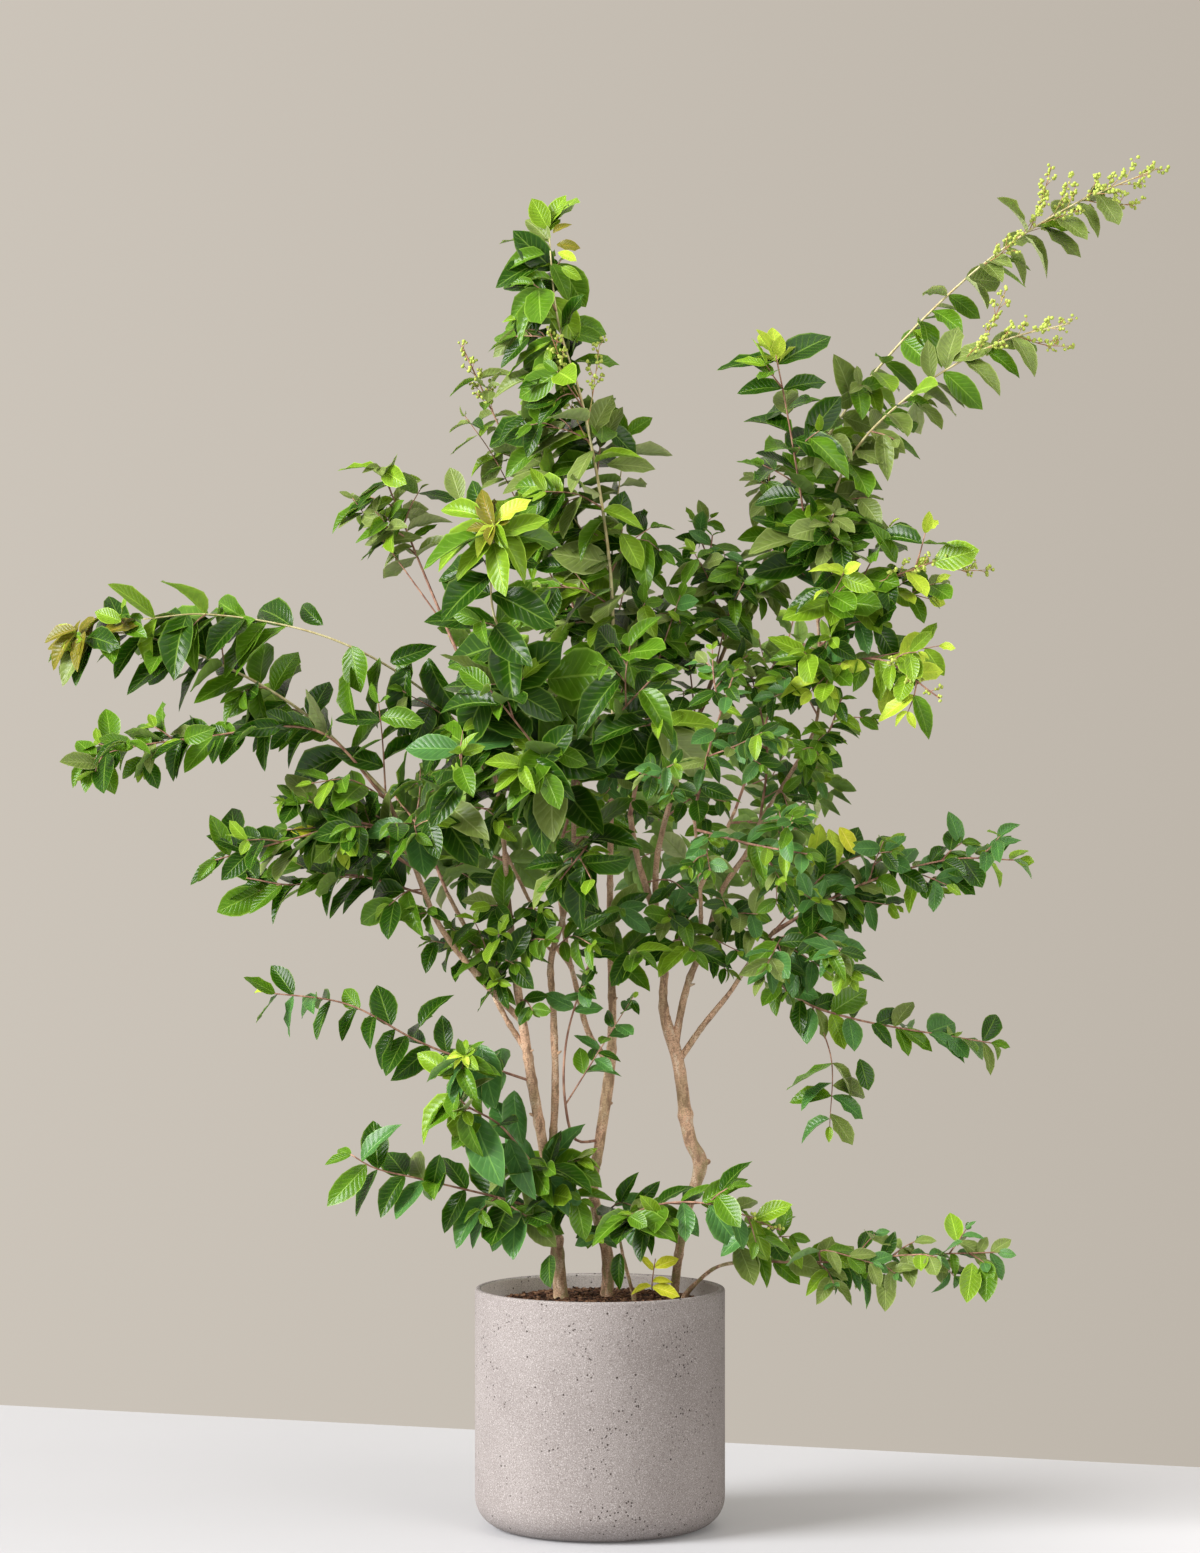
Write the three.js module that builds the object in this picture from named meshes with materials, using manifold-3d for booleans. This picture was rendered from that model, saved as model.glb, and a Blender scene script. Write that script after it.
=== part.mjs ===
// A crape myrtle grown as a clump of three stems in a round pot.
// Millimetres, +Z up, +Y to the back. The origin is the centre of the pot's flat underside.
import * as THREE from 'three';
import { mergeVertices } from 'three/addons/utils/BufferGeometryUtils.js';
import Module from 'manifold-3d';

const wasm = await Module();
wasm.setup();

const pot = {
  radius: 150, height: 285, wall: 8, base: 14, footRound: 36, lipRound: 3, bevel: 1, sides: 32,
};
const soilTop = pot.height - 14;
const gap = 0.3; // clear space between pieces that meet
const buried = 20; // how far a stem is made on below the soil, to be cut off level
const clearance = 0.7; // least space that a leaf or twig keeps from its neighbours

const finishes = {
  pot: { color: 0xb9aba3, roughness: 0.88 },
  soil: { color: 0x3a2417, roughness: 0.97 },
  bark: { color: 0xa5856b, roughness: 0.8 },
  leaf: { color: 0x2f6a22, roughness: 0.5 },
  freshLeaf: { color: 0x6f9a2c, roughness: 0.5 },
};

// Stems and boughs. Each leaves the soil, or its parent at a share of the parent's length,
// and passes the given places. The radius is given at its foot and at its tip, and flare is
// what the foot of a stem adds to it.
const limbs = {
  stem_left: {
    past: [[-47, 15, soilTop], [-58, 5, 389], [-85, -10, 554], [-103, -15, 678], [-110, -20, 752]],
    radius: [8.6, 3.4],
    flare: 4.5,
  },
  stem_middle: {
    past: [[8, 30, soilTop], [10, 28, 312], [-8, 20, 400], [0, 20, 460], [14, 30, 570], [12, 38, 749],
      [16, 30, 966]],
    radius: [7.4, 2.2],
    flare: 4,
  },
  stem_right: {
    past: [[90, 50, soilTop], [102, 45, 361], [121, 40, 432], [109, 38, 459], [94, 35, 555], [77, 30, 616],
      [77, 28, 689], [45, 15, 800], [36, 5, 852]],
    radius: [8.2, 2.6],
    flare: 4,
  },
  shoot_low_right: {
    past: [[101, 10, soilTop], [121, -5, 296], [141, -20, 312], [173, -40, 321]],
    radius: [2.6, 1.9],
    flare: 1,
  },
  shoot_front: {
    past: [[41, -5, soilTop], [36, -15, 292], [26, -40, 334], [21, -60, 370]],
    radius: [2.2, 1.6],
    flare: 1,
  },
  stem_inner: {
    on: 'stem_left',
    at: 0.3,
    past: [[-54, 5, 509], [-56, 0, 618], [-59, -5, 676], [-44, -20, 731], [-33, -40, 790], [-31, -85, 900]],
    radius: [5, 2.6],
  },
  bough_left_low: {
    on: 'stem_left',
    at: 0.7,
    past: [[-120, -20, 632], [-160, -30, 677], [-194, -35, 725], [-225, -40, 802], [-255, -45, 878]],
    radius: [4, 2.6],
  },
  bough_left_mid: {
    on: 'stem_left',
    at: 0.62,
    past: [[-120, 10, 620], [-149, 40, 688], [-186, 75, 756]],
    radius: [3.4, 2.4],
  },
  bough_left_up: {
    on: 'stem_left',
    at: 1,
    past: [[-121, 0, 870], [-152, 20, 1002]],
    radius: [3.2, 2.2],
  },
  stem_middle_left: {
    on: 'stem_middle',
    at: 0.41,
    past: [[-13, 45, 586], [-29, 55, 644], [-41, 62, 695], [-54, 80, 796]],
    radius: [3.8, 2.3],
  },
  bough_back_left: {
    on: 'stem_middle_left',
    at: 0.5,
    past: [[-68, 150, 708], [-120, 250, 805]],
    radius: [2.8, 2],
  },
  bough_right_mid: {
    on: 'stem_right',
    at: 0.52,
    past: [[105, 25, 645], [129, 15, 705], [147, 5, 762], [176, -5, 807], [195, -10, 851]],
    radius: [5, 3.1],
  },
  bough_right_low: {
    on: 'stem_right',
    at: 0.49,
    past: [[125, 18, 599], [156, 0, 639], [177, -20, 673], [208, -40, 715]],
    radius: [4, 2.3],
  },
  bough_right_top: {
    on: 'bough_right_mid',
    at: 1,
    past: [[230, -15, 905], [257, -20, 957], [263, -20, 1023], [259, -20, 1109]],
    radius: [2.9, 2],
  },
  bough_right_up: {
    on: 'stem_right',
    at: 0.79,
    past: [[69, 30, 800], [93, 45, 894], [123, 55, 981], [154, 60, 1059], [176, 60, 1112]],
    radius: [3.8, 2.1],
  },
  bough_back_right: {
    on: 'stem_right',
    at: 0.68,
    past: [[123, 140, 758], [170, 240, 856]],
    radius: [3, 2],
  },
  bough_front_right: {
    on: 'bough_right_mid',
    at: 0.4,
    past: [[118, -80, 776], [109, -160, 853]],
    radius: [2.6, 1.9],
  },
};

// Masses of leaves. The first shoot of each leaves its limb, and a second one leaves the first.
// reach is how far side twigs stand out, leaf is the length of a leaf, bare is the share of the
// shoot without leaves, and every is the distance between leaf pairs where it isn't the usual one.
const masses = {
  crown_spire: {
    on: 'stem_middle', at: 1, reach: 105, twigs: 4, leaf: 112, every: 75,
    shoots: [[[12, 20, 1147], [-18, 5, 1338], [-62, -10, 1574]]],
  },
  spray_spire_left: {
    on: 'stem_middle', at: 0.9, reach: 60, twigs: 2, leaf: 96, buds: 4, bare: 0.3,
    shoots: [[[-49, 75, 1161], [-104, 90, 1284], [-169, 95, 1425]]],
  },
  spray_upper_left: {
    on: 'bough_left_up', at: 1, reach: 55, twigs: 2, leaf: 90,
    shoots: [[[-181, 50, 1088], [-255, 80, 1258]], [[-300, 85, 1215]]],
  },
  rosette_front: {
    on: 'stem_inner', at: 1, reach: 70, twigs: 2, leaf: 139, bare: 0.3,
    shoots: [[[-52, -110, 996], [-121, -150, 1078], [-123, -180, 1189]]],
  },
  tuft_centre_left: {
    on: 'stem_inner', at: 0.93, reach: 110, twigs: 3, leaf: 128,
    shoots: [[[-82, -150, 941], [-127, -190, 998]]],
  },
  tuft_centre_right: {
    on: 'stem_inner', at: 0.97, reach: 105, twigs: 3, leaf: 122,
    shoots: [[[6, -150, 952], [58, -190, 1009]]],
  },
  tuft_centre_low: {
    on: 'stem_inner', at: 0.84, reach: 85, twigs: 2, leaf: 114,
    shoots: [[[-12, -110, 823], [-47, -150, 777]]],
  },
  arch_left_upper: {
    on: 'bough_left_up', at: 0.62, reach: 60, twigs: 3, leaf: 112,
    shoots: [[[-204, -20, 995], [-320, -50, 1066], [-464, -70, 1093], [-548, -80, 1110]]],
  },
  arch_left_middle: {
    on: 'bough_left_low', at: 1, reach: 50, twigs: 2, leaf: 106, bare: 0.1,
    shoots: [[[-346, -30, 968], [-446, -45, 1029], [-560, -55, 1071], [-640, -60, 1056]]],
  },
  arch_left_lower: {
    on: 'bough_left_low', at: 0.96, reach: 60, twigs: 2, leaf: 98,
    shoots: [[[-335, -70, 948], [-469, -95, 935], [-587, -110, 927], [-633, -115, 915]]],
  },
  spray_left: {
    on: 'bough_left_low', at: 0.75, reach: 65, twigs: 2, leaf: 102,
    shoots: [[[-270, -80, 829], [-374, -100, 803], [-493, -110, 793]]],
  },
  spray_left_low: {
    on: 'bough_left_low', at: 0.6, reach: 60, twigs: 2, leaf: 98,
    shoots: [[[-300, -10, 778], [-372, 0, 750], [-432, 10, 734]]],
  },
  tuft_left_inner: {
    on: 'bough_left_low', at: 0.85, reach: 100, twigs: 3, leaf: 112,
    shoots: [[[-187, -120, 882], [-186, -180, 935]]],
  },
  tuft_left_back: {
    on: 'bough_left_mid', at: 1, reach: 110, twigs: 3, leaf: 108,
    shoots: [[[-223, 160, 832], [-265, 260, 881]]],
  },
  rosette_low_left: {
    on: 'stem_left', at: 0.36, reach: 60, twigs: 2, leaf: 114, buds: 4,
    shoots: [[[-110, -60, 474], [-159, -110, 530], [-160, -130, 578]]],
  },
  spray_low_left: {
    on: 'stem_left', at: 0.55, reach: 40, twigs: 2, leaf: 84,
    shoots: [[[-209, -50, 583], [-300, -60, 638], [-401, -60, 650]]],
  },
  spray_foot_left: {
    on: 'stem_left', at: 0.22, reach: 50, twigs: 2, leaf: 96,
    shoots: [[[-123, -30, 396], [-221, -50, 422], [-312, -60, 455]], [[-60, -60, 330]]],
  },
  sprig_between_stems: {
    on: 'stem_middle', at: 0.28, reach: 60, twigs: 2, leaf: 76, bare: 0.55,
    shoots: [[[-29, 0, 462], [-42, -14, 511], [-40, -22, 583], [-8, -45, 692]], [[45, -30, 640]]],
  },
  arch_top_right: {
    on: 'bough_right_up', at: 1, reach: 55, twigs: 2, leaf: 90, buds: 8,
    shoots: [[[290, 30, 1331], [432, 0, 1489], [550, -20, 1573], [666, -30, 1624]]],
  },
  arch_right: {
    on: 'bough_right_top', at: 0.97, reach: 50, twigs: 2, leaf: 88, buds: 6, bare: 0.2,
    shoots: [[[290, -40, 1263], [366, -60, 1349], [473, -70, 1418], [556, -75, 1434]]],
  },
  spire_right: {
    on: 'bough_right_top', at: 1, reach: 70, twigs: 3, leaf: 106,
    shoots: [[[244, -40, 1228], [222, -50, 1333], [210, -55, 1400]]],
  },
  tuft_right_upper: {
    on: 'bough_right_top', at: 0.92, reach: 85, twigs: 2, leaf: 96, buds: 4,
    shoots: [[[332, -70, 1119], [425, -95, 1145]], [[385, -50, 1210]]],
  },
  tuft_right_inner: {
    on: 'bough_right_up', at: 0.9, reach: 100, twigs: 2, leaf: 94,
    shoots: [[[121, 60, 1110], [100, 40, 1180]]],
  },
  fringe_right: {
    on: 'bough_right_top', at: 0.7, reach: 70, twigs: 2, leaf: 90,
    shoots: [[[331, -80, 1036], [390, -120, 1000]]],
  },
  tuft_right_centre: {
    on: 'bough_right_mid', at: 0.97, reach: 95, twigs: 3, leaf: 82,
    shoots: [[[201, 15, 930], [178, 10, 1037]]],
  },
  tuft_right_mid: {
    on: 'bough_right_top', at: 0.3, reach: 90, twigs: 2, leaf: 84,
    shoots: [[[290, -50, 906], [325, -90, 935]]],
  },
  tuft_middle: {
    on: 'stem_right', at: 1, reach: 95, twigs: 2, leaf: 82,
    shoots: [[[48, -20, 906], [75, -40, 985]]],
  },
  spray_right: {
    on: 'bough_right_low', at: 1, reach: 75, twigs: 3, leaf: 88, bare: 0.1,
    shoots: [[[310, -60, 764], [417, -70, 795], [495, -70, 796]]],
  },
  tuft_right_low: {
    on: 'bough_right_low', at: 0.92, reach: 90, twigs: 3, leaf: 90,
    shoots: [[[259, -100, 706], [291, -150, 655]]],
  },
  spray_drooping: {
    on: 'bough_right_low', at: 0.8, reach: 55, twigs: 2, leaf: 82,
    shoots: [[[239, -10, 631], [298, -5, 609], [470, 0, 578]], [[282, -10, 500]]],
  },
  spray_low_right: {
    on: 'shoot_low_right', at: 1, reach: 65, twigs: 3, leaf: 88,
    shoots: [[[261, -60, 318], [354, -80, 325], [462, -90, 332]]],
  },
  spray_front_low: {
    on: 'shoot_front', at: 1, reach: 60, twigs: 2, leaf: 98,
    shoots: [[[67, -90, 393], [129, -110, 401], [195, -120, 380]]],
  },
  back_left_high: {
    on: 'bough_back_left', at: 1, reach: 120, twigs: 3, leaf: 112,
    shoots: [[[-125, 300, 930], [-118, 335, 1090]]],
  },
  back_left_low: {
    on: 'bough_back_left', at: 0.9, reach: 110, twigs: 3, leaf: 108,
    shoots: [[[-190, 340, 820], [-262, 390, 850]]],
  },
  back_centre_high: {
    on: 'stem_middle_left', at: 1, reach: 120, twigs: 3, leaf: 108,
    shoots: [[[-10, 170, 950], [40, 240, 1180]]],
  },
  back_centre_low: {
    on: 'bough_back_right', at: 0.55, reach: 110, twigs: 3, leaf: 106,
    shoots: [[[80, 280, 830], [30, 400, 900]]],
  },
  back_right_high: {
    on: 'bough_back_right', at: 1, reach: 120, twigs: 3, leaf: 106,
    shoots: [[[215, 300, 980], [250, 330, 1110]]],
  },
  back_right_low: {
    on: 'bough_back_right', at: 0.92, reach: 105, twigs: 3, leaf: 102,
    shoots: [[[240, 330, 840], [290, 400, 820]]],
  },
  front_right_high: {
    on: 'bough_front_right', at: 1, reach: 110, twigs: 3, leaf: 96,
    shoots: [[[125, -240, 930], [150, -300, 1010]]],
  },
  front_right_low: {
    on: 'bough_front_right', at: 0.9, reach: 100, twigs: 3, leaf: 94,
    shoots: [[[175, -220, 820], [235, -280, 810]]],
  },
};

const growth = {
  shootRadius: [2.8, 1.9], // at the foot and the tip of a mass's first shoot
  twigRadius: [1.2, 1.2],
  shootStep: 85, // length of one straight step of a shoot
  forkAt: 0.3, // share of the first shoot where the second leaves it
  pairStep: 135, // between leaf pairs along a shoot
  bareFoot: 0.05, // share of a shoot's foot without leaves
  bareTwig: 0.3,
  open: 1.1, // angle from shoot to leaf, before leaves droop
  leastOpen: 0.85,
  droop: 0.7,
  roll: 0.9,
  tipLeaf: 0.7, // length of a shoot's last leaf, to the others
  twigOpen: 0.9, // angle from shoot to side twig
  goldenAngle: 2.4, // turn round the shoot from one side twig to the next
  lastTwig: 0.9, // share of the shoot where the last side twig may stand
  reachTaper: [1.05, 0.5], // side twigs get shorter from foot to tip
  vary: [0.85, 1.15],
  swing: 0.35, // how far a heading strays, and by how much more at each further try
  tries: 4, // headings tried before a leaf or twig is left out
  startStep: 0.25,
  farthestStart: 40,
};

const limbFacets = { thick: 7, thin: 6, thickFrom: 4, step: 50, flareReach: 16 };

// Flower buds on short stalks, over the last share of a shoot.
const buds = { size: 11, stretch: 0.24, stalk: [24, 46], stalkRadius: [1, 0.8], along: 0.6, aside: 0.8 };

// A leaf lies flat below and rises to a low ridge: shares of its length, and of half its width.
const leafShape = {
  halfWidth: 0.27, // of its length
  thickness: 0.026, // of its length
  ridge: 0.36, // where it is thickest
  outline: [[0, 0], [0.32, 0.84], [0.64, 1], [1, 0], [0.64, -1], [0.32, -0.84]],
};

const { lerp, smoothstep } = THREE.MathUtils;
const up = new THREE.Vector3(0, 0, 1);
const group = new THREE.Group();

function addMesh(name, geometry, finish) {
  const mesh = new THREE.Mesh(geometry, new THREE.MeshStandardMaterial({ ...finish, metalness: 0 }));
  mesh.name = name;
  group.add(mesh);
}

// ---------- solids ----------

function solidFrom(geometry) {
  geometry.deleteAttribute('normal');
  geometry.deleteAttribute('uv');
  const merged = mergeVertices(geometry, 1e-4);
  const vertProperties = new Float32Array(merged.attributes.position.array);
  const triVerts = new Uint32Array(merged.index.array);
  return new wasm.Manifold(new wasm.Mesh({ numProp: 3, vertProperties, triVerts }));
}

function geometryFrom(solid) {
  const mesh = solid.getMesh();
  const geometry = new THREE.BufferGeometry();
  geometry.setAttribute('position', new THREE.BufferAttribute(mesh.vertProperties, 3));
  geometry.setIndex(new THREE.BufferAttribute(mesh.triVerts, 1));
  geometry.computeVertexNormals();
  return geometry;
}

function largestBody(solid) {
  return solid.decompose().reduce((best, body) => (body.volume() > best.volume() ? body : best));
}

function cornersOf(geometry) {
  const { position } = geometry.attributes;
  const corner = (_, i) => new THREE.Vector3().fromBufferAttribute(position, i);
  return Array.from({ length: position.count }, corner);
}

// A closed tube with flat ends along a curve. grow fattens and lengthens it on every side.
function tube(branch, grow = 0) {
  const { curve, sides, steps, radiusAt } = branch;
  const geometry = new THREE.CylinderGeometry(1, 1, 1, sides, steps);
  const points = curve.getSpacedPoints(steps);
  const frames = curve.computeFrenetFrames(steps, false);
  const { position } = geometry.attributes;
  for (let i = 0; i < position.count; i += 1) {
    const row = Math.round((position.getY(i) + 0.5) * steps);
    const radius = radiusAt(row / steps) + grow;
    const past = row === 0 ? -grow : Number(row === steps) * grow;
    const point = points[row].clone();
    point.addScaledVector(frames.tangents[row], past);
    point.addScaledVector(frames.normals[row], position.getX(i) * radius);
    point.addScaledVector(frames.binormals[row], -position.getZ(i) * radius);
    position.setXYZ(i, point.x, point.y, point.z);
  }
  return geometry;
}

// ---------- keeping pieces apart ----------

const placed = []; // every convex piece of the plant so far

function convexPiece(points, flats, edges, owner, carrier) {
  const ball = new THREE.Sphere().setFromPoints(points);
  return { points, flats, edges, owner, carrier, ball };
}

function tubePieces(branch, owner, carrier) {
  const { curve, sides, steps, radiusAt } = branch;
  const points = curve.getSpacedPoints(steps);
  const frames = curve.computeFrenetFrames(steps, false);
  const ring = (row) => Array.from({ length: sides }, (_, side) => {
    const angle = (side / sides) * Math.PI * 2;
    return points[row].clone()
      .addScaledVector(frames.normals[row], Math.sin(angle) * radiusAt(row / steps))
      .addScaledVector(frames.binormals[row], -Math.cos(angle) * radiusAt(row / steps));
  });
  return Array.from({ length: steps }, (_, row) => {
    const along = points[row + 1].clone().sub(points[row]).normalize();
    return convexPiece([...ring(row), ...ring(row + 1)], [], [along], owner, carrier);
  });
}

function spread(points, axis) {
  const heights = points.map((point) => point.dot(axis));
  return [Math.min(...heights), Math.max(...heights)];
}

// Two convex pieces are apart when some direction shows clear space between them.
function areApart(a, b, space) {
  const between = b.ball.center.clone().sub(a.ball.center);
  if (between.length() > a.ball.radius + b.ball.radius + space) return true;
  const axes = [between, ...a.flats, ...b.flats];
  for (const edge of [...a.edges, ...b.edges]) axes.push(between.clone().projectOnPlane(edge));
  for (const edge of a.edges) {
    for (const other of b.edges) axes.push(edge.clone().cross(other));
  }
  return axes.some((axis) => {
    if (axis.lengthSq() < 1e-6) return false;
    const unit = axis.clone().normalize();
    const [lowA, highA] = spread(a.points, unit);
    const [lowB, highB] = spread(b.points, unit);
    return lowB - highA > space || lowA - highB > space;
  });
}

function hasRoom(piece, carriers) {
  return placed.every((other) => {
    if (other.owner === piece.owner && carriers.includes(other.carrier)) return true;
    return areApart(piece, other, clearance);
  });
}

// ---------- limbs ----------

const branches = {}; // limbs by name
const thickened = []; // limbs fatter by the gap, to cut what starts on them

function straightTaper(from, to) {
  return (share) => lerp(from, to, share);
}

function makeBranch(points, radiusAt, sides, stepLength) {
  const curve = new THREE.CatmullRomCurve3(points, false, 'centripetal');
  const length = curve.getLength();
  const steps = Math.max(points.length - 1, Math.round(length / stepLength));
  return { curve, length, radiusAt, sides, steps };
}

// A place on the middle line of a branch as it is built, in straight steps.
function placeOn(branch, share) {
  const points = branch.curve.getSpacedPoints(branch.steps);
  const row = Math.min(branch.steps - 1, Math.floor(share * branch.steps));
  return points[row].clone().lerp(points[row + 1], share * branch.steps - row);
}

// Earlier limbs that a new one meets are cut away from it, a gap wider than they are.
function cutFree(solid) {
  const box = solid.boundingBox();
  const near = thickened.filter((other) => {
    const theirs = other.boundingBox();
    return [0, 1, 2].every((k) => theirs.min[k] < box.max[k] && theirs.max[k] > box.min[k]);
  });
  return largestBody(near.reduce((rest, other) => rest.subtract(other), solid));
}

function startPoints(plan) {
  const past = plan.past.map((place) => new THREE.Vector3(...place));
  if (!plan.on) {
    const below = past[0].clone().addScaledVector(up, -buried);
    return [below, ...past];
  }
  return [placeOn(branches[plan.on], plan.at), ...past];
}

for (const [name, plan] of Object.entries(limbs)) {
  const points = startPoints(plan);
  const taper = straightTaper(...plan.radius);
  const sides = plan.radius[0] > limbFacets.thickFrom ? limbFacets.thick : limbFacets.thin;
  const branch = makeBranch(points, taper, sides, limbFacets.step);
  if (plan.flare) {
    branch.radiusAt = (share) => {
      const height = Math.max(0, share * branch.length - buried);
      return taper(share) + plan.flare * Math.exp(-height / limbFacets.flareReach);
    };
  }
  let solid = cutFree(solidFrom(tube(branch)));
  if (!plan.on) solid = solid.trimByPlane([0, 0, 1], soilTop + gap);
  branches[name] = branch;
  thickened.push(solidFrom(tube(branch, gap)));
  placed.push(...tubePieces(branch, name, name));
  addMesh(name, geometryFrom(solid), finishes.bark);
}

// ---------- masses of leaves ----------

function randomFrom(seed) {
  let state = seed;
  return () => {
    state = (state + 0x6d2b79f5) | 0;
    let mixed = Math.imul(state ^ (state >>> 15), 1 | state);
    mixed = (mixed + Math.imul(mixed ^ (mixed >>> 7), 61 | mixed)) ^ mixed;
    return ((mixed ^ (mixed >>> 14)) >>> 0) / 4294967296;
  };
}

// A level direction square to the shoot; on an upright shoot each pair turns from the last.
function sideways(tangent, node, jitter) {
  const level = tangent.clone().cross(up);
  if (level.length() < 0.1) level.set(1, 0, 0);
  const upright = smoothstep(Math.abs(tangent.z), 0.5, 0.85);
  return level.normalize().applyAxisAngle(tangent, (node * upright * Math.PI) / 2 + jitter);
}

function makeLeaf(root, along, roll, length, owner, carrier) {
  const across = along.clone().cross(up);
  if (across.length() < 0.1) across.set(0, 1, 0);
  across.normalize().applyAxisAngle(along, roll);
  const face = across.clone().cross(along);
  const place = (share, side, height) => root.clone()
    .addScaledVector(along, share * length)
    .addScaledVector(across, side * leafShape.halfWidth * length)
    .addScaledVector(face, height * leafShape.thickness * length);
  const rim = leafShape.outline.map(([share, side]) => place(share, side, 0));
  const points = [...rim, place(leafShape.ridge, 0, 1)];
  const edges = rim.slice(0, 3).map((point, i) => rim[i + 1].clone().sub(point));
  return convexPiece(points, [face, across], edges, owner, carrier);
}

// Six faces rise from the outline to the ridge, and the flat underside is four that fan out
// from the tip.
function leafGeometry(points) {
  const geometry = new THREE.BufferGeometry().setFromPoints(points);
  const count = leafShape.outline.length;
  const tip = count / 2;
  const faces = [];
  for (let i = 0; i < count; i += 1) faces.push(i, (i + 1) % count, count);
  for (let i = 1; i < count - 1; i += 1) faces.push(tip, (tip + i + 1) % count, (tip + i) % count);
  return geometry.setIndex(faces);
}

const shootPoints = []; // places along the shoots of all masses, to tell whose space a leaf is in

function isOwnSpace(point, mass) {
  let best = null;
  let least = Infinity;
  for (const place of shootPoints) {
    const distance = place.point.distanceTo(point);
    if (distance < least) {
      least = distance;
      best = place.mass;
    }
  }
  return best === mass;
}

// A shoot starts just clear of its limb, and of shoots that are there already.
function makeShoot(name, start, past) {
  const places = past.map((place) => new THREE.Vector3(...place));
  const heading = places[0].clone().sub(start).normalize();
  for (let out = 0; out < growth.farthestStart; out += growth.startStep) {
    const foot = start.clone().addScaledVector(heading, out);
    const taper = straightTaper(...growth.shootRadius);
    const branch = makeBranch([foot, ...places], taper, 3, growth.shootStep);
    const pieces = tubePieces(branch, name, `${name}_0`);
    const isClear = pieces.every((piece) => placed.every((other) => areApart(piece, other, gap)));
    if (isClear) return { branch, pieces };
  }
  throw new Error(`${name} finds no clear start`);
}

// The second shoot of a mass starts inside its first one.
function makeForkedShoot(name, index, first, past) {
  const places = past.map((place) => new THREE.Vector3(...place));
  const foot = placeOn(first, growth.forkAt);
  const branch = makeBranch([foot, ...places], straightTaper(...growth.twigRadius), 3, growth.shootStep);
  return { branch, pieces: tubePieces(branch, name, `${name}_${index}`) };
}

for (const [name, plan] of Object.entries(masses)) {
  plan.branches = [];
  plan.solids = [];
  plan.shoots.forEach((past, index) => {
    const { branch, pieces } = index === 0
      ? makeShoot(name, placeOn(branches[plan.on], plan.at), past)
      : makeForkedShoot(name, index, plan.branches[0], past);
    plan.branches.push(branch);
    plan.solids.push(solidFrom(tube(branch)));
    placed.push(...pieces);
    for (const point of branch.curve.getSpacedPoints(10)) shootPoints.push({ point, mass: name });
  });
}

function addLeaf(plan, name, carrier, node, root, along, tangent, length, random) {
  for (let attempt = 0; attempt < growth.tries; attempt += 1) {
    const swing = new THREE.Vector3(random() - 0.5, random() - 0.5, random() - 0.5);
    const heading = along.clone().addScaledVector(swing, growth.swing * (1 + attempt)).normalize();
    if (tangent && heading.dot(tangent) > Math.cos(growth.leastOpen)) continue;
    const leaf = makeLeaf(root, heading, (random() - 0.5) * growth.roll, length, name, node);
    const middle = leaf.ball.center;
    if (isOwnSpace(middle, name) && hasRoom(leaf, [carrier, node])) {
      placed.push(leaf);
      plan.solids.push(solidFrom(leafGeometry(leaf.points)));
      return;
    }
  }
}

// Opposite pairs of leaves along a shoot, and one leaf that carries its tip on.
function addLeaves(plan, name, carrier, branch, bare, random) {
  const { length } = branch;
  const pairs = Math.max(1, Math.round((length * (1 - bare)) / (plan.every ?? growth.pairStep)));
  for (let node = 0; node < pairs; node += 1) {
    const share = bare + ((1 - bare) * (node + 0.4)) / pairs;
    const root = placeOn(branch, share);
    const tangent = branch.curve.getTangentAt(share);
    const side = sideways(tangent, node, (random() - 0.5) * 0.6);
    const size = plan.leaf * lerp(...growth.vary, random());
    for (const hand of [-1, 1]) {
      const along = tangent.clone().multiplyScalar(Math.cos(growth.open));
      along.addScaledVector(side, hand * Math.sin(growth.open));
      along.addScaledVector(up, -growth.droop * (0.5 + random()));
      addLeaf(plan, name, carrier, `${carrier}_${node}`, root, along.normalize(), tangent, size, random);
    }
  }
  const tip = branch.curve.getPointAt(1);
  const ahead = branch.curve.getTangentAt(1);
  const root = tip.clone().addScaledVector(ahead, -2);
  const size = plan.leaf * growth.tipLeaf;
  addLeaf(plan, name, carrier, `${carrier}_tip`, root, ahead, null, size, random);
}

function addSideTwig(plan, name, index, random) {
  const [main] = plan.branches;
  const bare = plan.bare ?? 0;
  const share = lerp(bare, growth.lastTwig, (index + 0.5) / plan.twigs);
  const root = placeOn(main, share);
  const tangent = main.curve.getTangentAt(share);
  const length = plan.reach * lerp(...growth.reachTaper, share) * lerp(...growth.vary, random());
  for (let attempt = 0; attempt < growth.tries; attempt += 1) {
    const turn = index * growth.goldenAngle + random() * (0.5 + attempt);
    const side = sideways(tangent, 0, turn);
    const heading = tangent.clone().multiplyScalar(Math.cos(growth.twigOpen));
    heading.addScaledVector(side, Math.sin(growth.twigOpen)).normalize();
    const end = root.clone().addScaledVector(heading, length);
    const branch = makeBranch([root, end], straightTaper(...growth.twigRadius), 3, length);
    const carrier = `${name}_twig_${index}`;
    const pieces = tubePieces(branch, name, carrier);
    const fits = isOwnSpace(end, name) && pieces.every((piece) => hasRoom(piece, [`${name}_0`]));
    if (fits) {
      placed.push(...pieces);
      plan.solids.push(solidFrom(tube(branch)));
      addLeaves(plan, name, carrier, branch, growth.bareTwig, random);
      return;
    }
  }
}

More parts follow.
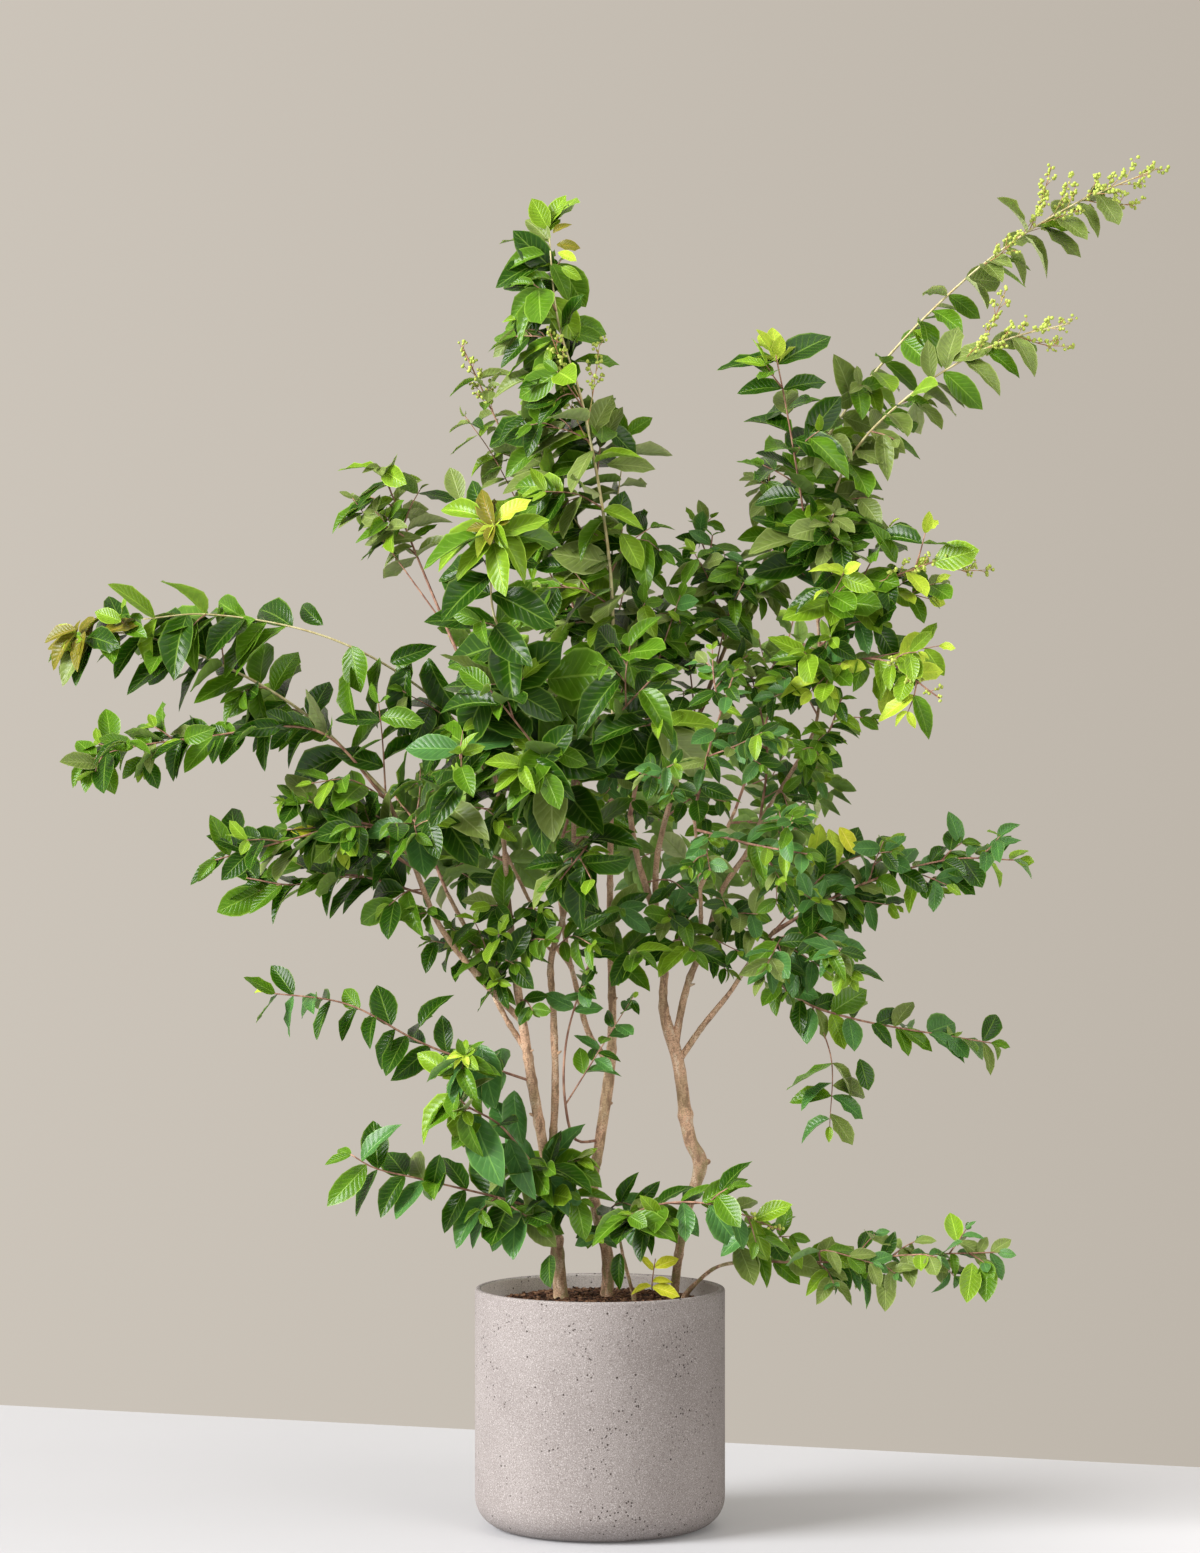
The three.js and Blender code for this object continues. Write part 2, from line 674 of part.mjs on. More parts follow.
function addBuds(plan, name, random) {
  const [main] = plan.branches;
  for (let index = 0; index < plan.buds; index += 1) {
    const share = 1 - buds.stretch * ((index + 0.3) / plan.buds);
    const root = placeOn(main, share);
    const tangent = main.curve.getTangentAt(share);
    const side = sideways(tangent, 0, index * growth.goldenAngle);
    const heading = tangent.clone().multiplyScalar(buds.along).addScaledVector(side, buds.aside);
    const length = lerp(...buds.stalk, random());
    const end = root.clone().addScaledVector(heading.normalize(), length);
    const stalk = makeBranch([root, end], straightTaper(...buds.stalkRadius), 3, length);
    const bud = new THREE.OctahedronGeometry(buds.size / 2).translate(...end.toArray());
    const carrier = `${name}_bud_${index}`;
    const [stalkPiece] = tubePieces(stalk, name, carrier);
    const budPiece = convexPiece(cornersOf(bud), [], [], name, carrier);
    if (!hasRoom(stalkPiece, [`${name}_0`]) || !hasRoom(budPiece, [])) continue;
    placed.push(stalkPiece, budPiece);
    plan.solids.push(solidFrom(tube(stalk)), solidFrom(bud));
  }
}

Object.entries(masses).forEach(([name, plan], order) => {
  const random = randomFrom(4100 + order * 17);
  if (plan.buds) addBuds(plan, name, random);
  plan.branches.forEach((branch, index) => {
    const bare = index === 0 ? plan.bare ?? growth.bareFoot : growth.bareTwig;
    addLeaves(plan, name, `${name}_${index}`, branch, bare, random);
  });
  for (let index = 0; index < plan.twigs; index += 1) addSideTwig(plan, name, index, random);
  const whole = wasm.Manifold.union(plan.solids).simplify(0.1);
  const finish = order % 5 === 0 ? finishes.freshLeaf : finishes.leaf;
  addMesh(name, geometryFrom(largestBody(whole)), finish);
});

// ---------- pot and soil ----------

function turned(path) {
  return new THREE.LatheGeometry(path.getPoints(2), pot.sides).rotateX(Math.PI / 2);
}

function makePot() {
  const { radius, height, wall, base, footRound, lipRound, bevel } = pot;
  const path = new THREE.Path();
  path.moveTo(0, 0);
  path.lineTo(radius - footRound, 0);
  path.absarc(radius - footRound, footRound, footRound, -Math.PI / 2, 0, false);
  path.lineTo(radius, height - lipRound);
  path.quadraticCurveTo(radius, height, radius - lipRound, height);
  path.lineTo(radius - wall + bevel, height);
  path.lineTo(radius - wall, height - bevel);
  path.lineTo(radius - wall, base);
  path.lineTo(0, base);
  return turned(path);
}

function makeSoil() {
  const radius = pot.radius - pot.wall - gap;
  const path = new THREE.Path();
  path.moveTo(0, pot.base + gap);
  path.lineTo(radius, pot.base + gap);
  path.lineTo(radius, soilTop);
  path.lineTo(0, soilTop);
  return turned(path);
}

addMesh('pot', makePot(), finishes.pot);
addMesh('soil', makeSoil(), finishes.soil);

export default group;
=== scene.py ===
import itertools
import math
import random
import time

import bmesh
import bpy
import numpy as np
from mathutils import Matrix, Quaternion, Vector, kdtree, noise


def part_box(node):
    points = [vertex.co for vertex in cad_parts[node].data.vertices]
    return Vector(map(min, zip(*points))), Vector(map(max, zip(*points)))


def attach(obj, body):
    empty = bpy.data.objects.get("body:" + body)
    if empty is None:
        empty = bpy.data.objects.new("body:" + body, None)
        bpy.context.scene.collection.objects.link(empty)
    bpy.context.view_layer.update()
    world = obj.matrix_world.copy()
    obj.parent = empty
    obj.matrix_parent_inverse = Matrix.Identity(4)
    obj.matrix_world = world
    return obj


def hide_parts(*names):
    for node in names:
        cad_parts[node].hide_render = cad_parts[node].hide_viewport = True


# A crape myrtle grown as a clump of stems in a round cast-stone pot.
# The places of limbs and shoots are written in millimetres and made metres by place().

begun = time.time()
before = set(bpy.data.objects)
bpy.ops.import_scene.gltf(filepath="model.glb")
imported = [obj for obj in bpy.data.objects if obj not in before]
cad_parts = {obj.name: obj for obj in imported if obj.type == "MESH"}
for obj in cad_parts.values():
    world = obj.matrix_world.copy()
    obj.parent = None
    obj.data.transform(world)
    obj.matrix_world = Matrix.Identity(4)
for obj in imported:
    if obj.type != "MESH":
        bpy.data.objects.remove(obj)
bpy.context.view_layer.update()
mm = 0.001
up = Vector((0, 0, 1))
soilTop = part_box("soil")[1][2]
soilLevel = soilTop / mm


def place(x, y, z):
    return Vector((x, y, z)) * mm


def blend(a, b, share):
    return a + (b - a) * share


def smoothStep(value, low, high):
    t = min(1, max(0, (value - low) / (high - low)))
    return t * t * (3 - 2 * t)


# Camera, floor and light

stage = {
    "camera": (0, -5.10, 0.898),
    "focal": 98.5,
    "floorCorners": [(-4.2, 2.09), (3.9, -0.62), (3.9, -7.5), (-4.2, -7.5)],
    "floorColour": (0.455, 0.46, 0.48),
    "floorGrain": 0.96,  # its darker grain, to its colour
    "paintedLightSpan": (0.3, 0.8),  # painted light: between these places along x the floor grows lighter
    "paintedLightGain": 1.2,
    "floorGlow": 0.07,
    "glowColour": (1, 0.985, 0.98, 1),
    "airColours": ((0.60, 0.55, 0.485), (0.515, 0.468, 0.407)),
    "airFade": 0.14,  # the air's colour changes over twice this share of the view
    "viewTransform": "Standard",
}

# Each light's place, what it points at, its size, watts and colour
lights = {
    "key": ((-12, -5.6, 7.4), (0, 0, 0.7), 8.6, 4700, (1.0, 0.99, 0.985)),
    "fill": ((5.2, -7.2, 4.0), (0, 0, 0.8), 5.0, 245, (1.0, 0.965, 0.93)),
    "above": ((1.8, -1.2, 5.0), (0.3, 0, 0), 4.0, 80, (1.0, 1.0, 1.0)),
}


def makeCamera():
    data = bpy.data.cameras.new("camera")
    data.lens = stage["focal"]
    camera = bpy.data.objects.new("camera", data)
    camera.location = stage["camera"]
    camera.rotation_euler = (math.pi / 2, 0, 0)
    bpy.context.scene.collection.objects.link(camera)
    bpy.context.scene.camera = camera
    bpy.context.scene.view_settings.view_transform = stage["viewTransform"]


def makeLight(name, at, target, size, watts, colour):
    data = bpy.data.lights.new(name, "AREA")
    data.shape = "DISK"
    data.size = size
    data.energy = watts
    data.color = colour
    light = bpy.data.objects.new(name, data)
    light.location = at
    light.rotation_euler = (Vector(target) - Vector(at)).to_track_quat("-Z", "Y").to_euler()
    bpy.context.scene.collection.objects.link(light)


def makeWorld():
    world = bpy.data.worlds.new("air")
    world.use_nodes = True
    nodes, links = world.node_tree.nodes, world.node_tree.links
    split = nodes.new("ShaderNodeSeparateXYZ")
    links.new(nodes.new("ShaderNodeTexCoord").outputs["Generated"], split.inputs[0])
    fade = nodes.new("ShaderNodeMapRange")  # a little paler towards the lit side
    fade.inputs["From Min"].default_value = -stage["airFade"]
    fade.inputs["From Max"].default_value = stage["airFade"]
    links.new(split.outputs["X"], fade.inputs["Value"])
    mix = nodes.new("ShaderNodeMix")
    mix.data_type = "RGBA"
    links.new(fade.outputs["Result"], mix.inputs["Factor"])
    for socket, colour in zip((mix.inputs[6], mix.inputs[7]), stage["airColours"]):
        socket.default_value = (*colour, 1)
    links.new(mix.outputs[2], nodes["Background"].inputs["Color"])
    bpy.context.scene.world = world


# Materials: each is a Principled shader with a few nodes in front of it

def newMaterial(name, roughness=0.5, specular=0.5):
    material = bpy.data.materials.new(name)
    material.use_nodes = True
    shader = material.node_tree.nodes["Principled BSDF"]
    shader.inputs["Roughness"].default_value = roughness
    shader.inputs["Specular IOR Level"].default_value = specular
    return material


def shaderOf(material):
    return material.node_tree.nodes["Principled BSDF"]


def addNode(material, kind, settings=None, **inputs):
    node = material.node_tree.nodes.new(kind)
    for key, value in (settings or {}).items():
        setattr(node, key, value)
    for key, value in inputs.items():
        socket = node.inputs[int(key[1:])] if key[1:].isdigit() else node.inputs[key.replace("_", " ")]
        if isinstance(value, bpy.types.NodeSocket):
            material.node_tree.links.new(value, socket)
        else:
            socket.default_value = value
    return node


def math2(material, operation, a, b=0.0):
    return addNode(material, "ShaderNodeMath", {"operation": operation}, _0=a, _1=b).outputs[0]


def ramp(material, value, low, high, fromValue=0.0, toValue=1.0):
    settings = {"interpolation_type": "SMOOTHSTEP"}
    ends = {"_1": low, "_2": high, "_3": fromValue, "_4": toValue}
    return addNode(material, "ShaderNodeMapRange", settings, _0=value, **ends).outputs[0]


def mixColour(material, share, first, second):
    node = addNode(material, "ShaderNodeMix", {"data_type": "RGBA"}, _0=share)
    for socket, value in ((node.inputs[6], first), (node.inputs[7], second)):
        if isinstance(value, bpy.types.NodeSocket):
            material.node_tree.links.new(value, socket)
        else:
            socket.default_value = (*value, 1)
    return node.outputs[2]


def noiseOn(material, vector, scale, detail=3.0, roughness=0.55):
    values = {"Scale": scale, "Detail": detail, "Roughness": roughness}
    return addNode(material, "ShaderNodeTexNoise", None, Vector=vector, **values).outputs[0]


def setColour(material, colour):
    material.node_tree.links.new(colour, shaderOf(material).inputs["Base Color"])


def setBump(material, height, strength, distance):
    bump = addNode(material, "ShaderNodeBump", None, Height=height, Strength=strength, Distance=distance)
    material.node_tree.links.new(bump.outputs[0], shaderOf(material).inputs["Normal"])


def objectPlace(material, stretch=(1, 1, 1)):
    coordinate = addNode(material, "ShaderNodeTexCoord").outputs["Object"]
    return addNode(material, "ShaderNodeMapping", None, Vector=coordinate, Scale=stretch).outputs[0]


def axesOf(material, vector):
    return addNode(material, "ShaderNodeSeparateXYZ", None, Vector=vector).outputs


def times(material, a, b):
    return math2(material, "MULTIPLY", a, b)


def shaded(colour, share):
    return tuple(value * share for value in colour)


# Putting a finished piece in the scene

def addPiece(name, mesh, materials, nodes=()):
    for material in materials:
        mesh.materials.append(material)
    piece = bpy.data.objects.new(name, mesh)
    bpy.context.scene.collection.objects.link(piece)
    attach(piece, "root")
    if nodes:
        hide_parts(*nodes)
    print(name, len(mesh.polygons), "faces", round(time.time() - begun, 1), "s")


def meshFrom(bm, name):
    mesh = bpy.data.meshes.new(name)
    bm.to_mesh(mesh)
    bm.free()
    return mesh


# A closed turned shape from a profile of (distance from the axis, height) points
def turnedShape(profile, steps):
    bm = bmesh.new()
    verts = [bm.verts.new((radius, 0, height)) for radius, height in profile]
    edges = [bm.edges.new(pair) for pair in zip(verts, verts[1:])]
    around = dict(cent=(0, 0, 0), axis=(0, 0, 1), angle=math.tau, steps=steps, use_merge=True)
    bmesh.ops.spin(bm, geom=verts + edges, **around)
    bmesh.ops.remove_doubles(bm, verts=bm.verts, dist=1e-6)
    bmesh.ops.recalc_face_normals(bm, faces=bm.faces)
    for face in bm.faces:
        face.smooth = True
    return bm


def arc(centre, radius, start, end, steps):
    angles = [blend(start, end, i / steps) for i in range(steps + 1)]
    return [(centre[0] + radius * math.cos(a), centre[1] + radius * math.sin(a)) for a in angles]


# Pot

pot = {
    "radius": 0.150,
    "height": 0.285,
    "wall": 0.008,
    "base": 0.014,
    "footRound": 0.036,
    "lipRound": 0.0032,
    "sides": 144,
    "arcSteps": (12, 5),  # round the foot and the lip
    "wallRows": 6,
    "stone": (0.225, 0.202, 0.196),
    "stoneLight": (0.45, 0.42, 0.41),
    "stoneDark": (0.17, 0.145, 0.135),
    # painted light: the inner wall above the soil is far paler than the outer stone
    "inside": (0.90, 0.86, 0.84),
    "paintedShadeInside": (0.45, 0.41, 0.385),
    "paintedShadeSpan": (-0.12, 0.03),  # painted shade: the inner wall grows darker between these places along x
    "insideHeights": (0.15, 0.2),
    # painted shade: the pits are coloured nearly black, as the shade inside them
    "pitShade": (0.045, 0.035, 0.03),
    "smallPits": (210.0, (0.13, 0.30), (0.36, 0.44)),  # their scale, size and how many cells have none
    "largePits": (95.0, (0.08, 0.15), (0.80, 0.84)),
    "pitClusters": (21.0, 0.47, 0.59),
    "bumpDepth": 0.0014,
}


def potProfile():
    radius, height, foot, lip = (pot[key] for key in ("radius", "height", "footRound", "lipRound"))
    inner = radius - pot["wall"]
    profile = [(0, 0), (0.04, 0), (0.08, 0)]
    footSteps, lipSteps = pot["arcSteps"]
    rows = pot["wallRows"]
    profile += arc((radius - foot, foot), foot, -math.pi / 2, 0, footSteps)
    profile += [(radius, blend(foot, height, i / rows)) for i in range(1, rows)]
    profile += arc((radius - lip, height - lip), lip, 0, math.pi / 2, lipSteps)
    profile += arc((inner + lip, height - lip), lip, math.pi / 2, math.pi, lipSteps)
    profile += [(inner, blend(height, pot["base"], i / rows)) for i in range(1, rows + 1)]
    profile += [(inner * 0.5, pot["base"]), (0, pot["base"])]
    return profile


def pitsOn(stone, coordinate, scale, size, share):
    cells = addNode(stone, "ShaderNodeTexVoronoi", None, Vector=coordinate, Scale=scale).outputs
    hole = ramp(stone, cells["Distance"], *size, 1.0, 0.0)
    return times(stone, hole, ramp(stone, axesOf(stone, cells["Color"])[0], *share))


def stoneMaterial():
    stone = newMaterial("castStone", roughness=0.88, specular=0.25)
    coordinate = objectPlace(stone)
    light, dark = pot["stoneLight"], pot["stoneDark"]
    broad = noiseOn(stone, coordinate, 8.0, 3.0)
    grain = noiseOn(stone, coordinate, 640.0, 2.0, 0.7)
    fleck = noiseOn(stone, coordinate, 900.0, 1.0)
    clusterScale, few, many = pot["pitClusters"]
    cluster = ramp(stone, noiseOn(stone, coordinate, clusterScale, 2.0), few, many)
    pits = times(stone, pitsOn(stone, coordinate, *pot["smallPits"]), cluster)
    pits = math2(stone, "MAXIMUM", pits, pitsOn(stone, coordinate, *pot["largePits"]))
    colour = mixColour(stone, ramp(stone, broad, 0.3, 0.7, 0.05, 0.25), pot["stone"], light)
    colour = mixColour(stone, ramp(stone, grain, 0.50, 0.66, 0.0, 0.8), colour, light)
    colour = mixColour(stone, ramp(stone, fleck, 0.51, 0.64, 0.0, 0.85), colour, dark)
    # Painted light on the inner wall above the soil: far paler than the outer stone, with painted shade
    # towards +x
    flat = objectPlace(stone, (1, 1, 0))
    away = addNode(stone, "ShaderNodeVectorMath", {"operation": "LENGTH"}, _0=flat).outputs[1]
    innerRadius = pot["radius"] - pot["wall"]
    paintedLightWithin = ramp(stone, away, innerRadius, innerRadius + 0.002, 0.9, 0.0)
    axes = axesOf(stone, coordinate)
    paintedLightWithin = times(stone, paintedLightWithin, ramp(stone, axes[2], *pot["insideHeights"]))
    inside = mixColour(stone, ramp(stone, axes[0], *pot["paintedShadeSpan"]), pot["inside"], pot["paintedShadeInside"])
    inside = mixColour(stone, ramp(stone, fleck, 0.45, 0.7, 0.0, 0.5), inside, dark)
    colour = mixColour(stone, paintedLightWithin, colour, inside)
    # Painted shade: the pits are coloured nearly black
    setColour(stone, mixColour(stone, pits, colour, pot["pitShade"]))
    height = math2(stone, "SUBTRACT", times(stone, grain, 0.3), pits)
    setBump(stone, height, 0.6, pot["bumpDepth"])
    return stone


def makePot():
    mesh = meshFrom(turnedShape(potProfile(), pot["sides"]), "pot")
    addPiece("stonePot", mesh, [stoneMaterial()], ["pot"])


# Soil: a rough bed with bark chips and fibres on it

soil = {
    "gap": 0.0006,
    "rings": 26,
    "sides": 120,
    "rough": 0.0035,
    "edgeDrop": 0.006,
    "chips": 1900,
    "chipKinds": 5,
    "chipSize": (0.0024, 0.0078),
    "chipTilt": 0.35,
    "chipMargin": 0.008,  # from the pot's wall
    "fibres": 260,
    "fibreMargin": 0.016,
    "fibreRadius": 0.00028,
    "fibreStep": 0.0028,
    "bedColour": (0.045, 0.024, 0.014),
    "chipColours": [(0.06, 0.028, 0.016), (0.125, 0.056, 0.03), (0.27, 0.145, 0.08)],
    "seed": 61,
}


def soilHeight(x, y):
    coarse = noise.noise(Vector((x, y, 0.3)) * 60)
    fine = noise.noise(Vector((x, y, 1.7)) * 210)
    drop = soil["edgeDrop"] * smoothStep(math.hypot(x, y) / (pot["radius"] - pot["wall"]), 0.68, 0.98)
    return soilTop + soil["rough"] * (0.55 * coarse + 0.45 * fine) - 0.001 - drop


def chipMaterial(name, colour, roughness=0.9):
    chip = newMaterial(name, roughness=roughness, specular=0.25)
    coordinate = objectPlace(chip)
    grain = noiseOn(chip, coordinate, 420.0, 4.0, 0.7)
    setColour(chip, mixColour(chip, ramp(chip, grain, 0.35, 0.65), shaded(colour, 0.4), colour))
    setBump(chip, grain, 0.6, 0.0009)
    return chip


def makeSoil():
    low = pot["base"] + soil["gap"]
    radius = pot["radius"] - pot["wall"] - soil["gap"]
    profile = [(0, low), (radius, low), (radius, soilTop)]
    profile += [(radius * (1 - i / soil["rings"]), soilTop) for i in range(1, soil["rings"] + 1)]
    bm = turnedShape(profile, soil["sides"])
    for vert in bm.verts:
        if vert.co.z > soilTop - 1e-4:
            vert.co.z = soilHeight(vert.co.x, vert.co.y)
    moist = chipMaterial("moistSoil", soil["bedColour"], 0.95)
    addPiece("soilBed", meshFrom(bm, "soilBed"), [moist], ["soil"])
    dice = random.Random(soil["seed"])
    for index, colour in enumerate(soil["chipColours"]):
        shapes = [chipShape(dice) for _ in range(soil["chipKinds"])]
        spots = [chipSpot(dice, radius) for _ in range(soil["chips"] // len(soil["chipColours"]))]
        mesh = copiesMesh("chips", shapes, spots)
        addPiece(f"barkChips{index + 1}", mesh, [chipMaterial(f"barkChip{index + 1}", colour)])
    runs = [fibreRun(dice, radius) for _ in range(soil["fibres"])]
    fibre = chipMaterial("fibre", soil["chipColours"][2])
    addPiece("soilFibres", tubesMesh("soilFibres", runs, 0), [fibre])


def chipShape(dice):
    bm = bmesh.new()
    bmesh.ops.create_cube(bm, size=1)
    longSide = [edge for edge in bm.edges if abs(edge.verts[0].co.x - edge.verts[1].co.x) > 0.5]
    bmesh.ops.subdivide_edges(bm, edges=longSide, cuts=1)
    for vert in bm.verts:
        jolt = Vector((dice.uniform(-1, 1), dice.uniform(-1, 1), dice.uniform(-1, 1))) * 0.096
        bow = 0.12 * (1 - 4 * vert.co.x ** 2)  # a chip is flat and slightly bowed
        vert.co = Vector((vert.co.x, vert.co.y * 0.5, vert.co.z * 0.22 + bow)) + jolt
    bmesh.ops.recalc_face_normals(bm, faces=bm.faces)
    return shapeArrays(bm)


def chipSpot(dice, radius):
    reach = (radius - soil["chipMargin"]) * math.sqrt(dice.random())
    angle = dice.uniform(0, math.tau)
    x, y = reach * math.cos(angle), reach * math.sin(angle)
    size = dice.uniform(*soil["chipSize"])
    tilt = Matrix.Rotation(dice.gauss(0, soil["chipTilt"]), 3, "X")
    tilt = tilt @ Matrix.Rotation(dice.gauss(0, soil["chipTilt"]), 3, "Y")
    turned = Matrix.Rotation(dice.uniform(0, math.tau), 3, "Z") @ tilt
    spot = Vector((x, y, soilHeight(x, y) + size * 0.1))
    return dice.randrange(soil["chipKinds"]), turned * size, spot


def fibreRun(dice, radius):
    reach = (radius - soil["fibreMargin"]) * math.sqrt(dice.random())
    angle = dice.uniform(0, math.tau)
    heading = dice.uniform(0, math.tau)
    x, y = reach * math.cos(angle), reach * math.sin(angle)
    run = []
    for i in range(6):
        lift = 0.0008 + 0.002 * math.sin(math.pi * i / 5) * dice.random()
        run.append((Vector((x, y, soilHeight(x, y) + lift)), soil["fibreRadius"]))
        heading += dice.uniform(-0.7, 0.7)
        x += soil["fibreStep"] * math.cos(heading)
        y += soil["fibreStep"] * math.sin(heading)
    return run


# Arrays of a small shape, to be copied many times into one mesh
def shapeArrays(bm, uvLayer=None):
    bm.verts.index_update()
    points = np.array([vert.co[:] for vert in bm.verts])
    faces = [[vert.index for vert in face.verts] for face in bm.faces]
    slots = [face.material_index for face in bm.faces]
    uvs = None
    if uvLayer:
        uvs = np.array([loop[uvLayer].uv[:] for face in bm.faces for loop in face.loops])
    bm.free()
    return {"points": points, "faces": faces, "slots": slots, "uvs": uvs}


# spots holds (shape number, 3x3 turn and scale, place) for each copy
def copiesMesh(name, shapes, spots, sharpAngle=50):
    points, corners, counts, slots, uvs = [], [], [], [], []
    offset = 0
    for number, shape in enumerate(shapes):
        own = [(turned, spot) for index, turned, spot in spots if index == number]
        if not own:
            continue
        turns = np.array([[row[:] for row in turned] for turned, _ in own])
        places = np.array([spot[:] for _, spot in own])
        copies = np.einsum("kij,nj->kni", turns, shape["points"]) + places[:, None, :]
        flat = np.concatenate([np.array(face) for face in shape["faces"]])
        size = len(shape["points"])
        starts = offset + np.arange(len(own)) * size
        points.append(copies.reshape(-1, 3))
        corners.append((flat[None, :] + starts[:, None]).ravel())
        counts.append(np.tile([len(face) for face in shape["faces"]], len(own)))
        slots.append(np.tile(shape["slots"], len(own)))
        if shape["uvs"] is not None:
            uvs.append(np.tile(shape["uvs"], (len(own), 1)))
        offset += size * len(own)
    points, corners, counts, slots = (np.concatenate(part) for part in (points, corners, counts, slots))
    mesh = bpy.data.meshes.new(name)
    mesh.vertices.add(len(points))
    mesh.vertices.foreach_set("co", points.ravel())
    mesh.loops.add(len(corners))
    mesh.loops.foreach_set("vertex_index", corners)
    mesh.polygons.add(len(counts))
    mesh.polygons.foreach_set("loop_start", np.concatenate([[0], np.cumsum(counts)[:-1]]))
    mesh.polygons.foreach_set("material_index", slots)
    if uvs:
        layer = mesh.uv_layers.new(name="OFBake")
        layer.data.foreach_set("uv", np.concatenate(uvs).ravel())
    mesh.update(calc_edges=True)
    mesh.validate()
    mesh.set_sharp_from_angle(angle=math.radians(sharpAngle))
    return mesh


# Closed tubes of one mesh, from runs of (point, radius)
def tubesMesh(name, runs, roundness):
    curve = bpy.data.curves.new(name, "CURVE")
    curve.dimensions = "3D"
    curve.bevel_depth = 1.0
    curve.bevel_resolution = roundness
    curve.use_fill_caps = True
    for run in runs:
        spline = curve.splines.new("POLY")
        spline.points.add(len(run) - 1)
        spline.points.foreach_set("co", [value for point, _ in run for value in (*point, 1)])
        spline.points.foreach_set("radius", [radius for _, radius in run])
    holder = bpy.data.objects.new(name, curve)
    bpy.context.scene.collection.objects.link(holder)
    mesh = bpy.data.meshes.new_from_object(holder.evaluated_get(bpy.context.evaluated_depsgraph_get()))
    bpy.data.objects.remove(holder)
    bpy.data.curves.remove(curve)
    bm = bmesh.new()
    bm.from_mesh(mesh)
    bmesh.ops.remove_doubles(bm, verts=bm.verts, dist=1e-6)
    bmesh.ops.recalc_face_normals(bm, faces=bm.faces)
    for face in bm.faces:
        face.smooth = True
    bm.to_mesh(mesh)
    bm.free()
    mesh.materials.clear()
    return mesh


# Stems and boughs: each leaves the soil, or its parent at a share of the parent's length,
# and passes the given places. radii gives its radius at shares of its length, and flare
# what the foot of a stem adds.
limbs = {
    "stem_left": dict(
        flare=1.2,
        radii=[(0, 8.4), (0.2, 7.2), (0.36, 5.8), (0.5, 6.4), (1, 3.6)],
        past=[(-47, 15, soilLevel), (-58, 5, 389), (-85, -10, 554), (-103, -15, 678), (-110, -20, 752)],
    ),
    "stem_middle": dict(
        flare=1.2,
        radii=[(0, 7.2), (0.13, 7.0), (0.22, 5.8), (0.38, 7.0), (0.46, 5.0), (1, 2.4)],
        past=[(8, 30, soilLevel), (10, 28, 312), (-8, 20, 400), (0, 20, 460), (14, 30, 570),
              (12, 38, 749), (16, 30, 966)],
    ),
    "stem_right": dict(
        flare=1.0,
        radii=[(0, 4.8), (0.15, 5.6), (0.24, 7.0), (0.285, 9.2), (0.33, 7.8), (0.5, 7.4), (0.55, 7.8),
               (0.62, 5.0), (1, 3.2)],
        past=[(90, 50, soilLevel), (102, 45, 361), (121, 40, 432), (109, 38, 459), (94, 35, 555),
              (77, 30, 616), (77, 28, 689), (45, 15, 800), (36, 5, 852)],
    ),
    "shoot_low_right": dict(
        flare=1,
        radii=[(0, 2.6), (1, 1.9)],
        past=[(101, 10, soilLevel), (121, -5, 296), (141, -20, 312), (173, -40, 321)],
    ),
    "shoot_front": dict(
        flare=1,
        radii=[(0, 2.2), (1, 1.6)],
        past=[(41, -5, soilLevel), (36, -15, 292), (26, -40, 334), (21, -60, 370)],
    ),
    "stem_inner": dict(
        on="stem_left", at=0.3,
        radii=[(0, 5), (1, 2.6)],
        past=[(-54, 5, 509), (-56, 0, 618), (-59, -5, 676), (-44, -20, 731), (-33, -40, 790),
              (-31, -85, 900)],
    ),
    "bough_left_low": dict(
        on="stem_left", at=0.7,
        radii=[(0, 4), (1, 2.6)],
        past=[(-120, -20, 632), (-160, -30, 677), (-194, -35, 725), (-225, -40, 802), (-255, -45, 878)],
    ),
    "bough_left_mid": dict(
        on="stem_left", at=0.62,
        radii=[(0, 3.4), (1, 2.4)],
        past=[(-120, 10, 620), (-149, 40, 688), (-186, 75, 756)],
    ),
    "bough_left_up": dict(
        on="stem_left", at=1,
        radii=[(0, 3.2), (1, 2.2)],
        past=[(-121, 0, 870), (-152, 20, 1002)],
    ),
    "stem_middle_left": dict(
        on="stem_middle", at=0.41,
        radii=[(0, 3.8), (1, 2.3)],
        past=[(-13, 45, 586), (-29, 55, 644), (-41, 62, 695), (-54, 80, 796)],
    ),
    "bough_back_left": dict(
        on="stem_middle_left", at=0.5,
        radii=[(0, 2.8), (1, 2)],
        past=[(-68, 150, 708), (-120, 250, 805)],
    ),
    "bough_right_mid": dict(
        on="stem_right", at=0.52,
        radii=[(0, 4.6), (1, 2.6)],
        past=[(105, 25, 645), (129, 15, 705), (147, 5, 762), (176, -5, 807), (195, -10, 851)],
    ),
    "bough_right_low": dict(
        on="stem_right", at=0.49,
        radii=[(0, 4), (1, 2.3)],
        past=[(125, 18, 599), (156, 0, 639), (177, -20, 673), (208, -40, 715)],
    ),
    "bough_right_top": dict(
        on="bough_right_mid", at=1,
        radii=[(0, 2.4), (1, 1.7)],
        past=[(230, -15, 905), (257, -20, 957), (263, -20, 1023), (259, -20, 1109)],
    ),
    "bough_right_up": dict(
        on="stem_right", at=0.79,
        radii=[(0, 3.8), (1, 2.1)],
        past=[(69, 30, 800), (93, 45, 894), (123, 55, 981), (154, 60, 1059), (176, 60, 1112)],
    ),
    "bough_back_right": dict(
        on="stem_right", at=0.68,
        radii=[(0, 3), (1, 2)],
        past=[(123, 140, 758), (170, 240, 856)],
    ),
    "bough_front_right": dict(
        on="bough_right_mid", at=0.4,
        radii=[(0, 2.6), (1, 1.9)],
        past=[(118, -80, 776), (109, -160, 853)],
    ),
}

